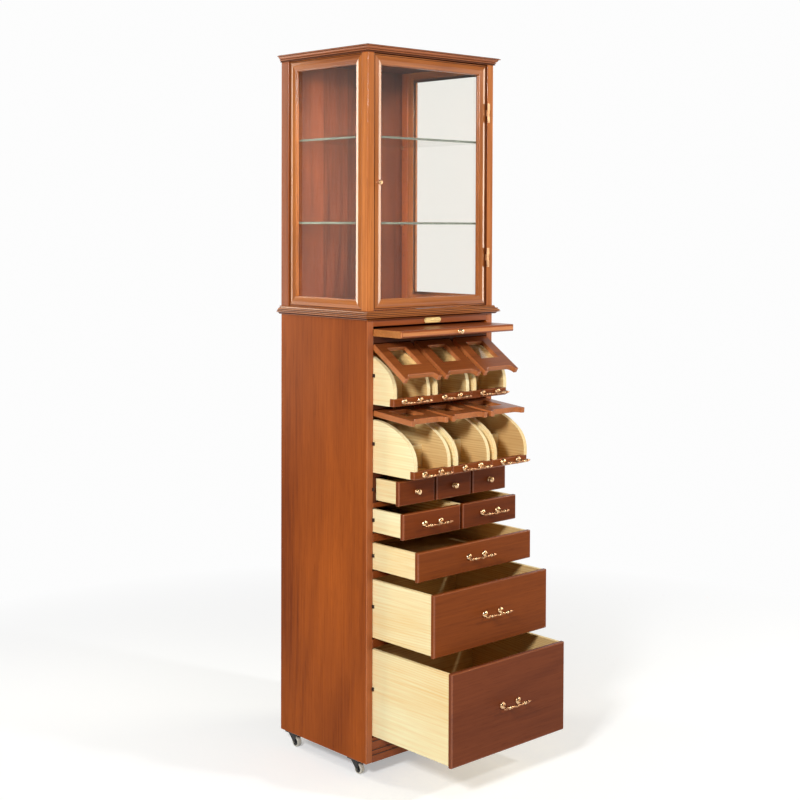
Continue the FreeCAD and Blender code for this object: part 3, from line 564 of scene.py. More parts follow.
def skin(part: bmesh.types.BMesh, rings: list[Ring], place: Matrix,
         looped: bool = False) -> bmesh.types.BMesh:
    """Covers rings of vertices with faces.

    Args:
        part: the part that holds the vertices.
        rings: the rings in order; a ring of one vertex is a tip.
        place: puts the part where it belongs.
        looped: joins the last ring to the first one instead of closing both.

    Returns:
        The part, with its faces outwards.
    """
    for under, over in zip(rings, rings[1:] + (rings[:1] if looped else [])):
        count = max(len(under), len(over))
        for n in range(count):
            after = (n + 1) % count
            corners = list(dict.fromkeys((under[n % len(under)], under[after % len(under)],
                                          over[after % len(over)], over[n % len(over)])))
            if len(corners) > 2:
                part.faces.new(corners)
    for end in () if looped else (rings[0][::-1], rings[-1]):
        if len(end) > 1:
            part.faces.new(end)
    part.transform(place)
    bmesh.ops.recalc_face_normals(part, faces=part.faces)
    return part


def lathe(profile: Profile, place: Matrix, steps: int = 40) -> bmesh.types.BMesh:
    """A turned part.

    Args:
        profile: (radius, height) points from foot to tip; a radius of 0 closes an end.
        place: puts the part's z axis where it stands.
        steps: facets round it.

    Returns:
        The part.
    """
    part = bmesh.new()
    turns = [math.tau * n / steps for n in range(steps)]
    tip = 1e-7
    rings = [[part.verts.new((radius * math.cos(a), radius * math.sin(a), height))
              for a in (turns if radius > tip else turns[:1])] for radius, height in profile]
    return skin(part, rings, place)


def hoop(section: Profile, place: Matrix, steps: int = 48) -> bmesh.types.BMesh:
    """A ring of a closed section turned about z.

    Args:
        section: (radius, height) points of the section.
        place: puts the ring's z axis where it stands.
        steps: facets round it.

    Returns:
        The part.
    """
    part = bmesh.new()
    rings = [[part.verts.new((r * math.cos(math.tau * n / steps),
                              r * math.sin(math.tau * n / steps), h)) for r, h in section]
             for n in range(steps)]
    return skin(part, rings, place, looped=True)


def prism(outline: Profile, start: Callable[[float], float], end: Callable[[float], float],
          place: Matrix) -> bmesh.types.BMesh:
    """A moulded strip along its own x, with ends cut as functions of the profile's u.

    Args:
        outline: (u, w) points of the section, to local y and z.
        start: x of the first end at a given u.
        end: x of the other end at a given u.
        place: puts the strip where it belongs.

    Returns:
        The part.
    """
    part = bmesh.new()
    rings = [[part.verts.new((cut(u), u, w)) for u, w in outline] for cut in (start, end)]
    return skin(part, rings, place)


def sweep(spine: Sequence[Vector], sizes: Sequence[tuple[float, float]],
          steps: int = 16) -> bmesh.types.BMesh:
    """A rounded bar along a line in an x-z plane, with its own half sizes at each point.

    Args:
        spine: points along the bar's middle.
        sizes: (up, out) half sizes of the oval section at each point.
        steps: facets round it.

    Returns:
        The part.
    """
    part = bmesh.new()
    rings = []
    last = len(spine) - 1
    for n, (spot, (up, out)) in enumerate(zip(spine, sizes)):
        ahead = (spine[min(n + 1, last)] - spine[max(n - 1, 0)]).normalized()
        side = Vector((-ahead.z, 0.0, ahead.x))
        rings.append([
            part.verts.new(spot + side * (up * math.cos(math.tau * k / steps))
                           + Vector((0.0, -out * math.sin(math.tau * k / steps), 0.0)))
            for k in range(steps)])
    return skin(part, rings, Matrix())


def solids_of(node: str) -> list[bmesh.types.BMesh]:
    """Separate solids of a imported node, with their flat faces made whole.

    Args:
        node: the node's name.

    Returns:
        One mesh for each solid, in the order they come.
    """
    same_place, flat = 0.002 * MM, math.radians(0.5)
    source = bmesh.new()
    source.from_mesh(bpy.data.objects[node].data)
    bmesh.ops.remove_doubles(source, verts=source.verts, dist=same_place)
    source.faces.index_update()
    seen: set[int] = set()
    parts = []
    for first in source.faces:
        if first.index in seen:
            continue
        seen.add(first.index)
        waiting, part = [first], bmesh.new()
        places: dict[int, bmesh.types.BMVert] = {}
        while waiting:
            face = waiting.pop()
            for vert in face.verts:
                if vert.index not in places:
                    places[vert.index] = part.verts.new(vert.co)
            part.faces.new([places[vert.index] for vert in face.verts])
            for edge in face.edges:
                if len(edge.link_faces) != 2:
                    continue
                for other in edge.link_faces:
                    if other.index not in seen:
                        seen.add(other.index)
                        waiting.append(other)
        bmesh.ops.dissolve_limit(part, angle_limit=flat, verts=part.verts, edges=part.edges)
        parts.append(part)
    source.free()
    return parts


def set_down(name: str, mesh: bpy.types.Mesh, crease: float) -> bpy.types.Object:
    """Puts a smooth mesh with sharp creases into the scene.

    Args:
        name: the piece's name.
        mesh: its mesh.
        crease: the angle in degrees above which an edge stays sharp.

    Returns:
        The piece.
    """
    mesh.shade_smooth()
    mesh.set_sharp_from_angle(angle=math.radians(crease))
    piece = bpy.data.objects.new(name, mesh)
    bpy.context.scene.collection.objects.link(piece)
    return piece


def hand_over(piece: bpy.types.Object, body: str, replaces: Iterable[str] = ()) -> None:
    """Lets a piece ride on a body and reports it.

    Args:
        piece: the piece.
        body: the body it moves with.
        replaces: the nodes it stands for.
    """
    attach(piece, body)
    if replaces:
        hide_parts(*replaces)
    LOG.info("%s: %d faces on %s", piece.name, len(piece.data.polygons), body)


def bake_modifiers(piece: bpy.types.Object) -> None:
    """Turns a piece's modifiers into its mesh.

    Args:
        piece: the piece, which is left with a plain mesh.
    """
    graph = bpy.context.evaluated_depsgraph_get()
    made = bpy.data.meshes.new_from_object(piece.evaluated_get(graph),
                                           preserve_all_data_layers=True, depsgraph=graph)
    old = piece.data
    piece.modifiers.clear()
    piece.data = made
    made.name = piece.name
    bpy.data.meshes.remove(old)


class Shape:
    """A mesh under construction, made of parts that each have a finish and a grain."""

    sharp_edge = math.radians(40)
    across = 0.5  # cosine below which a face lies across another one
    grain_step = (0.731, 0.417, 0.233)  # from one board's grain to the next one's

    def __init__(self, name: str) -> None:
        """Starts an empty piece.

        Args:
            name: the piece's name.
        """
        self.name = name
        self.finishes: list[Finish] = []
        self.parts: list[bmesh.types.BMesh] = []

    def slot_of(self, finish: Finish) -> int:
        """The place of a finish among the piece's materials.

        Args:
            finish: the finish; it is taken in if it is new.

        Returns:
            Its place.
        """
        if finish not in self.finishes:
            self.finishes.append(finish)
        return self.finishes.index(finish)

    def add(self, part: bmesh.types.BMesh, finish: Finish, along: Axis = Axis.LONGEST,
            edge: Finish | None = None, ease: float = 0.0, steps: int = 2,
            rim: Finish | None = None) -> None:
        """Takes in a part, with eased edges and its grain coordinates.

        Args:
            part: the part; it is used up.
            finish: its finish.
            along: the direction of its grain.
            edge: the finish of its eased edges, if they are to differ.
            ease: how far its sharp edges are eased; none if 0.
            steps: facets across an eased edge.
            rim: the finish of the faces across its widest one, if they are to differ.
        """
        slot = self.slot_of(finish)
        for face in part.faces:
            face.material_index = slot
        if rim is not None:
            widest = max(part.faces, key=lambda face: face.calc_area()).normal.copy()
            self.paint(part, rim, lambda face: abs(face.normal.dot(widest)) < self.across)
        if ease:
            self.ease_edges(part, ease, steps, self.slot_of(edge or finish))
        self.lay_grain(part, along)
        self.parts.append(part)

    def paint(self, part: bmesh.types.BMesh, finish: Finish,
              chosen: Callable[[bmesh.types.BMFace], bool]) -> None:
        """Gives some faces of a part another finish.

        Args:
            part: the part.
            finish: the other finish.
            chosen: tells whether a face gets it.
        """
        slot = self.slot_of(finish)
        for face in part.faces:
            if chosen(face):
                face.material_index = slot

    def line(self, node: str, outer: Finish, inner: Finish) -> None:
        """Repaints the faces that look towards the middle of a node's box.

        Args:
            node: the node whose box it is.
            outer: the finish that such a face has now.
            inner: the finish that it gets.
        """
        low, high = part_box(node)
        middle, old = (low + high) / 2, self.slot_of(outer)
        for part in self.parts:
            self.paint(part, inner, lambda face: face.material_index == old
                       and face.normal.dot(middle - face.calc_center_median()) > 0)

    def ease_edges(self, part: bmesh.types.BMesh, width: float, steps: int, slot: int) -> None:
        """Rounds the outward sharp edges of a part.

        Args:
            part: the part.
            width: how far the edges are eased.
            steps: facets across an eased edge.
            slot: the place of their finish among the piece's materials.
        """
        sharp = [edge for edge in part.edges if len(edge.link_faces) == 2
                 and edge.calc_face_angle_signed(0) > self.sharp_edge]
        bmesh.ops.bevel(part, geom=sharp, offset=width, offset_type="OFFSET", segments=steps,
                        profile=0.5, affect="EDGES", clamp_overlap=True, material=slot)

    def lay_grain(self, part: bmesh.types.BMesh, along: Axis) -> None:
        """Stores board coordinates with the grain along x, shifted for each board.

        Args:
            part: the part.
            along: the direction of its grain.
        """
        low, high = bounds_of(part)
        size = high - low
        first = along.value if along is not Axis.LONGEST else max(range(3), key=lambda i: size[i])
        others = [i for i in range(3) if i != first]
        count = len(self.parts) + 7 * (sum(map(ord, self.name)) % 13)
        shift = Vector([step * count for step in self.grain_step])
        layer = part.verts.layers.float_vector.new(GRAIN)
        for vert in part.verts:
            spot = vert.co
            vert[layer] = Vector((spot[first], spot[others[0]], spot[others[1]])) + shift

    def finish(self, body: str, replaces: Iterable[str] = (), crease: float = 38.0) -> None:
        """Joins the parts into an object that rides on a body.

        Args:
            body: the body it moves with.
            replaces: the nodes it stands for.
            crease: the angle in degrees above which an edge stays sharp.
        """
        whole = bmesh.new()
        for part in self.parts:
            step = bpy.data.meshes.new("part")
            part.to_mesh(step)
            part.free()
            whole.from_mesh(step)
            bpy.data.meshes.remove(step)
        mesh = bpy.data.meshes.new(self.name)
        whole.to_mesh(mesh)
        whole.free()
        for finish in self.finishes:
            mesh.materials.append(material_of(finish))
        piece = set_down(self.name, mesh, crease)
        piece.modifiers.new("even", "WEIGHTED_NORMAL").keep_sharp = True
        bake_modifiers(piece)
        hand_over(piece, body, replaces)


# ------------------------------------------------------------------ repeated things


class Repeats:
    """Geometry Nodes trees for what repeats: rows of studs and beads along a border."""

    @staticmethod
    def open_tree(name: str, **takes: Carries) -> tuple[Tree, bpy.types.bpy_prop_collection]:
        """Starts a tree that takes a material besides, and gives a mesh."""
        return open_group(name, "GeometryNodeTree", {**takes, "Material": Carries.MATERIAL},
                          {"Geometry": Carries.GEOMETRY})

    @staticmethod
    def close_tree(tree: Tree, copies: bpy.types.NodeSocket, given: bpy.types.bpy_prop_collection,
                   **moved: object) -> bpy.types.NodeTree:
        """Ends a tree: makes the copies real, moves them and gives them the material.

        Args:
            tree: the tree.
            copies: the copies as instances.
            given: what comes in through the tree's inputs.
            moved: where the copies go and how they are turned.

        Returns:
            The finished tree.
        """
        real = tree.node("GeometryNodeRealizeInstances", {0: copies})[0]
        if moved:
            real = tree.node("GeometryNodeTransform", {"Geometry": real, **moved})["Geometry"]
        dress = tree.node("GeometryNodeSetMaterial", {
            "Geometry": real, "Material": given["Material"]})
        tree.node("NodeGroupOutput", {"Geometry": dress["Geometry"]})
        return tree.tree

    @classmethod
    @cache
    def row(cls) -> bpy.types.NodeTree:
        """Builds the tree of a straight row of round studs or holes.

        Returns:
            A tree that takes Start, Step, Count, Turn, Radius, Depth and Material.
        """
        tree, given = cls.open_tree(
            "row_of_studs", Start=Carries.VECTOR, Step=Carries.VECTOR, Count=Carries.COUNT,
            Turn=Carries.VECTOR, Radius=Carries.NUMBER, Depth=Carries.NUMBER)
        line = tree.node("GeometryNodeMeshLine", {
            "Count": given["Count"], "Start Location": given["Start"], "Offset": given["Step"]},
            mode="OFFSET", count_mode="TOTAL")
        stud = tree.node("GeometryNodeMeshCylinder", {
            "Vertices": 20, "Radius": given["Radius"], "Depth": given["Depth"]})
        copies = tree.node("GeometryNodeInstanceOnPoints", {
            "Points": line["Mesh"], "Instance": stud["Mesh"], "Rotation": given["Turn"]})
        return cls.close_tree(tree, copies["Instances"], given)

    @classmethod
    @cache
    def border(cls) -> bpy.types.NodeTree:
        """Builds the tree of small beads round a rectangle that faces the front.

        Returns:
            A tree that takes Centre, Width, Height, Count, Radius and Material.
        """
        tree, given = cls.open_tree(
            "beaded_border", Centre=Carries.VECTOR, Width=Carries.NUMBER, Height=Carries.NUMBER,
            Count=Carries.COUNT, Radius=Carries.NUMBER)
        frame = tree.node("GeometryNodeCurvePrimitiveQuadrilateral", {
            "Width": given["Width"], "Height": given["Height"]})
        spots = tree.node("GeometryNodeCurveToPoints", {
            "Curve": frame["Curve"], "Count": given["Count"]}, mode="COUNT")
        bead = tree.node("GeometryNodeMeshIcoSphere", {
            "Subdivisions": 2, "Radius": given["Radius"]})
        copies = tree.node("GeometryNodeInstanceOnPoints", {
            "Points": spots["Points"], "Instance": bead["Mesh"]})
        return cls.close_tree(tree, copies["Instances"], given, Translation=given["Centre"],
                              Rotation=(math.radians(90), 0.0, 0.0))

    @staticmethod
    def mesh(tree: bpy.types.NodeTree, values: dict[str, object]) -> bpy.types.Mesh:
        """Runs a tree once.

        Args:
            tree: the Geometry Nodes tree.
            values: its inputs by name.

        Returns:
            The mesh that it makes.
        """
        holder = bpy.data.objects.new("maker", bpy.data.meshes.new("maker"))
        bpy.context.scene.collection.objects.link(holder)
        modifier = holder.modifiers.new("make", "NODES")
        modifier.node_group = tree
        for item in tree.interface.items_tree:
            if item.in_out == "INPUT" and item.name in values:
                modifier[item.identifier] = values[item.name]
        graph = bpy.context.evaluated_depsgraph_get()
        made = bpy.data.meshes.new_from_object(holder.evaluated_get(graph), depsgraph=graph)
        holder.modifiers.clear()
        bpy.data.objects.remove(holder)
        return made

    @classmethod
    def piece(cls, name: str, finish: Finish, tree: bpy.types.NodeTree,
              runs: Iterable[dict[str, object]]) -> None:
        """Joins several runs of a tree into one piece on the case.

        Args:
            name: the piece's name.
            finish: its finish.
            tree: the Geometry Nodes tree.
            runs: the inputs of each run.
        """
        material = material_of(finish)
        whole = bmesh.new()
        for values in runs:
            step = cls.mesh(tree, {**values, "Material": material})
            whole.from_mesh(step)
            bpy.data.meshes.remove(step)
        mesh = bpy.data.meshes.new(name)
        whole.to_mesh(mesh)
        whole.free()
        mesh.materials.clear()
        mesh.materials.append(material)
        hand_over(set_down(name, mesh, crease=40), "root")


# ------------------------------------------------------------------ the cabinet's parts


@dataclass
class Carcass:
    """The fixed boards of the lower case and the display case.

    The reeds' dark lines, painted shade, are placed by their height above the plinth's foot.
    Posts behind the shade line take the darker rail finish as painted shade. The shelves, each
    with a row of pin holes painted as dark discs of shade on either side, are placed by a share
    of the posts' height. The plugs are placed by a share of the height of the drawer or bin that
    they stand beside.
    """

    ease: float = 1.6 * MM
    shade_line: float = 0.1
    plug: tuple[float, float, float] = (3.4 * MM, 6.0 * MM, 9.0 * MM)
    plug_sunk: float = 0.5 * MM
    plug_level: float = 0.55
    reeds: tuple[float, float, float] = (20 * MM, 33 * MM, 57 * MM)
    line: float = 2.4 * MM
    line_proud: float = 0.25 * MM
    line_deep: float = 2 * MM
    shelves: tuple[float, float] = (0.34, 0.67)
    holes: int = 6
    hole_radius: float = 2.4 * MM
    hole_depth: float = 0.4 * MM
    hole_step: float = 32 * MM
    hole_inset: float = 17 * MM

    def build(self) -> None:
        """Builds every board, the dark guide ends and the rows of pin holes."""
        for node, finish, edge, share in (
            ("case_sides", CASE, CASE_EDGE, 1.0),
            ("front_rails", RAIL, RAIL_EDGE, 0.6),
            ("display_posts", POST, CASE_EDGE, 0.6),
            ("case_back", INNER, INNER, 0.3),
            ("case_shelves", INNER, INNER, 0.5),
            ("drawer_guides", INNER, INNER, 0.4),
            ("display_back", PANEL, PANEL, 0.3),
        ):
            shape = Shape(f"{node}_wood")
            for solid in solids_of(node):
                # Painted shade: posts behind the shade line take the darker rail finish.
                shaded = finish is POST and bounds_of(solid)[0].y > self.shade_line
                shape.add(solid, RAIL if shaded else finish, edge=edge, ease=share * self.ease,
                          steps=3, rim=CASE_RIM if finish is CASE else None)
            # Painted shade: post faces looking into the case, as in the door gap, take the panel
            # finish.
            if finish is POST:
                shape.line(node, POST, PANEL)
            shape.finish("root", [node])
        self.plinth_lines()
        self.guide_ends()
        self.pin_holes()

    def plinth_lines(self) -> None:
        """Adds thin dark strips across the plinth: painted shade in its reeds."""
        low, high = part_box("front_rails")
        shape = Shape("plinth_lines")
        for reed in self.reeds:
            level = low.z + reed
            part = block(Vector((low.x, low.y - self.line_proud, level - self.line / 2)),
                         Vector((high.x, low.y + self.line_deep, level + self.line / 2)))
            # Painted shade: a thin dark strip along each reed.
            shape.add(part, SHADOW, Axis.X)
        shape.finish("root")

    def guide_ends(self) -> None:
        """Adds the small dark ends of the side guides beside each drawer and bin row."""
        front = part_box("case_sides")[0].y
        inner = abs(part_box("case_shelves")[0].x)
        wide, deep, tall = self.plug
        shape = Shape("guide_ends")
        for node in ("bin_1_left", "bin_2_left", "drawer_3_left", "drawer_4_left", "drawer_5",
                     "drawer_6", "drawer_7"):
            foot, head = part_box(node)
            level = foot.z + self.plug_level * (head.z - foot.z)
            for side in (-1, 1):
                near, far = sorted((side * (inner + wide), side * (inner - self.plug_sunk)))
                part = block(Vector((near, front - deep, level - tall / 2)),
                             Vector((far, front + deep, level + tall / 2)))
                shape.add(part, SHADOW, ease=self.plug_sunk)
        shape.finish("root")

    def pin_holes(self) -> None:
        """Adds rows of dark discs up the posts of the display case: painted shade of shelf-pin
        holes.
        """
        low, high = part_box("display_posts")
        post = abs(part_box("display_back")[0].x)
        runs = []
        for shelf in self.shelves:
            first = low.z + shelf * (high.z - low.z) - self.hole_step * (self.holes // 2)
            for side in (-1, 1):
                runs.append({
                    "Start": (side * post, high.y - self.hole_inset, first),
                    "Step": (0.0, 0.0, self.hole_step), "Count": self.holes,
                    "Turn": (0.0, math.radians(90), 0.0), "Radius": self.hole_radius,
                    "Depth": self.hole_depth})
        # Painted shade: flat dark discs stand in for the holes.
        Repeats.piece("pin_holes", SHADOW, Repeats.row(), runs)


@dataclass
class Mouldings:
    """The mitred mouldings: waist, cornice, and the frames of the door and side sashes.

    The quirks are the grooves, painted dark as painted shade: spans in millimetres, up from
    the foot of a level moulding, or in from the outer edge of a frame.
    """

    frame_width: float = 29 * MM
    frame_face: float = 18 * MM
    sash_inset: float = 2 * MM
    sight: float = 12 * MM
    rebate: float = 6 * MM
    cornice_out: float = 15 * MM
    waist_out: float = 17 * MM
    quirks: dict[str, Profile] = field(default_factory=lambda: {
        "cornice": [(0.5, 4.1), (7.7, 8.3), (14.2, 15.2), (18.0, 18.8)],
        "waist_moulding": [(1.0, 4.0), (7.9, 8.5), (12.2, 12.9), (16.6, 18.1), (20.3, 21.4)],
        "frame": [(-1.0, 0.3), (2.7, 4.5)]})

    def frame_section(self) -> Profile:
        """Section of a frame rail, from its outer edge inwards: fillet, swell and nose.

        Returns:
            Its points, in metres.
        """
        face, wide, sight = self.frame_face / MM, self.frame_width / MM, self.sight / MM
        section = [
            (0.0, 0.0), (0.0, face - 3.0), (0.5, face - 2.3), (1.2, face - 2.0),
            (2.8, face - 2.0), (3.0, face - 3.6), (4.2, face - 3.6), (4.4, face - 2.2),
            (5.0, face - 1.8), (12.0, face - 0.4), (13.4, face - 0.1), (14.8, face),
            (16.2, face - 0.1), (17.4, face - 0.4), (wide - 3.8, face - 1.9),
            *arc((wide - 3.8, face - 4.2), 2.3, 80, 0, 6), (wide - 1.5, sight),
            *arc((wide - 1.6, sight - 2.4), 1.6, 90, 0, 5), (wide, self.rebate / MM),
            (21.0, self.rebate / MM), (21.0, 0.0)]
        return [(u * MM, w * MM) for u, w in section]

    def cornice_section(self) -> Profile:
        """Section of the cornice: fillet and bead below, hollow, thin lip at the top.

        Returns:
            Its points, in metres.
        """
        out, high = self.cornice_out / MM, 19.0
        hollow = [(9.6 - 5.0 * t, 8.6 + 4.8 * t ** 1.9) for t in (n / 8 for n in range(9))]
        section = [
            (out, 0.0), (11.5, 0.0), (11.0, 0.4), (11.0, 3.0), (12.2, 3.2), (12.2, 4.0),
            *arc((10.6, 5.9), 1.7, 245, 115, 6), (12.0, 7.8), (10.0, 8.2), *hollow,
            (4.6, 14.4), (3.6, 14.8), (1.4, 15.1), *arc((1.3, 16.4), 1.3, 250, 110, 5),
            (2.8, 17.8), (3.0, 18.7), (3.4, high), (out, high)]
        return [(u * MM, w * MM) for u, w in section]

    def waist_section(self) -> Profile:
        """Section of the waist moulding: undercut, thin lip, two reeds, fillet at the top.

        Returns:
            Its points, in metres.
        """
        out, high = self.waist_out / MM, 23.0
        section = [
            (out, 0.0), (9.6, 0.0), (9.0, 1.4), (7.4, 3.2), (4.6, 4.6), (1.4, 5.3),
            *arc((1.3, 6.7), 1.3, 250, 100, 6), (3.0, 8.2), (4.4, 8.4),
            *arc((3.6, 10.5), 2.0, 235, 100, 7), (6.4, 12.5), (7.4, 12.8),
            *arc((6.6, 14.8), 1.9, 235, 100, 7), (9.6, 16.7), (10.4, 17.0), (10.5, 18.0),
            (11.0, 19.4), (11.8, 20.4), (13.4, 20.6), (13.4, 21.2), (12.0, 21.3),
            (12.0, 22.6), (12.4, high), (out, high)]
        return [(u * MM, w * MM) for u, w in section]

    def in_quirk(self, moulding: str, distance: float) -> bool:
        """Whether a place on a moulding is in one of its grooves, painted dark as painted shade."""
        return any(start < distance / MM < end for start, end in self.quirks[moulding])

    def ring(self, node: str, section: Profile, out: float, finish: Wood) -> None:
        """Builds a board with its moulding mitred round the front and both ends.

        Args:
            node: the node that it replaces.
            section: the moulding's section.
            out: how far the moulding stands out from the board.
            finish: the finish of both.
        """
        low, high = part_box(node)
        left, right, near, back = low.x, high.x, low.y, high.y
        shape = Shape(f"{node}_strips")
        board = block(Vector((left + out, near + out, low.z)), Vector((right - out, back, high.z)))
        shape.add(board, finish, Axis.X)
        # Painted shade: the board's underside, the display case's ceiling under the cornice, takes
        # the dark inner wood.
        shape.paint(board, INNER, lambda face: face.normal.z < -FACING)
        deep, wide = back - near, right - left
        for x, y, turn, near_end, far_end in (
            (left, back, -90, lambda u: 0.0, lambda u: deep - u),
            (left, near, 0, lambda u: u, lambda u: wide - u),
            (right, near, 90, lambda u: u, lambda u: deep),
        ):
            part = prism(section[::-1], near_end, far_end, turned_at((x, y, low.z), turn, "Z"))
            shape.add(part, finish)
            # Painted shade: the grooves take the dark groove finish.
            shape.paint(part, GROOVE_SHADE, lambda face: self.in_quirk(
                node, face.calc_center_median().z - low.z))
        shape.finish("root", [node], crease=42)

    def picture_frame(self, shape: Shape, width: float, height: float, place: Matrix) -> None:
        """Adds four mitred rails.

        Args:
            shape: takes the rails.
            width: the frame's size along the place's x.
            height: its size along the place's y.
            place: puts its outer corner at the origin, and its face up z.
        """
        section = self.frame_section()[::-1]
        for side, (x, y) in enumerate(((0, 0), (width, 0), (width, height), (0, height))):
            long = (width, height)[side % 2]
            stand = place @ turned_at((x, y, 0), 90 * side, "Z")
            part = prism(section, lambda u: u, lambda u, long=long: long - u, stand)
            shape.add(part, FRAME)
            back = stand.inverted()
            # Painted shade: the grooves take the dark groove finish.
            shape.paint(part, GROOVE_SHADE, lambda face, back=back: self.in_quirk(
                "frame", (back @ face.calc_center_median()).y))

    def build(self) -> None:
        """Builds every moulding."""
        self.ring("cornice", self.cornice_section(), self.cornice_out, CORNICE)
        self.ring("waist_moulding", self.waist_section(), self.waist_out, FRAME)
        low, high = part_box("door_frame")
        door = Shape("door_frame_rails")
        self.picture_frame(door, high.x - low.x, high.z - low.z,
                           facing_front(Vector((low.x, high.y, low.z))))
        door.finish("door", ["door_frame"], crease=42)
        low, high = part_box("side_sashes")
        left, right = (corner.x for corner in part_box("case_sides"))
        thick = self.frame_face + self.sash_inset
        sashes = Shape("side_sash_rails")
        for side, x, y in ((-1, left + thick, high.y), (1, right - thick, low.y)):
            turn = Matrix(((0, 0, side, 0), (side, 0, 0, 0), (0, 1, 0, 0), (0, 0, 0, 1)))
            self.picture_frame(sashes, high.y - low.y, high.z - low.z,
                               Matrix.Translation((x, y, low.z)) @ turn)
        sashes.finish("root", ["side_sashes"], crease=42)


class Glazier:
    """Panes and shelves, with greenish edges except on the lids."""

    def build(self) -> None:
        """Builds the glass of the display case, door and lids."""
        panes = [("display_glass", "root", GLASS_EDGE), ("door_glass", "door", GLASS_EDGE)]
        panes += [(f"lid_{row}_{side}_glass", f"lid_{row}_{side}", GLASS)
                  for row in ROWS for side in SIDES]
        for node, body, edge in panes:
            shape = Shape(f"{node}_pane")
            for solid in solids_of(node):
                low, high = bounds_of(solid)
                thin = min(range(3), key=lambda i: (high - low)[i])
                shape.add(solid, GLASS)
                shape.paint(solid, edge, lambda face: abs(face.normal[thin]) <= FACING)
            shape.finish(body, [node])


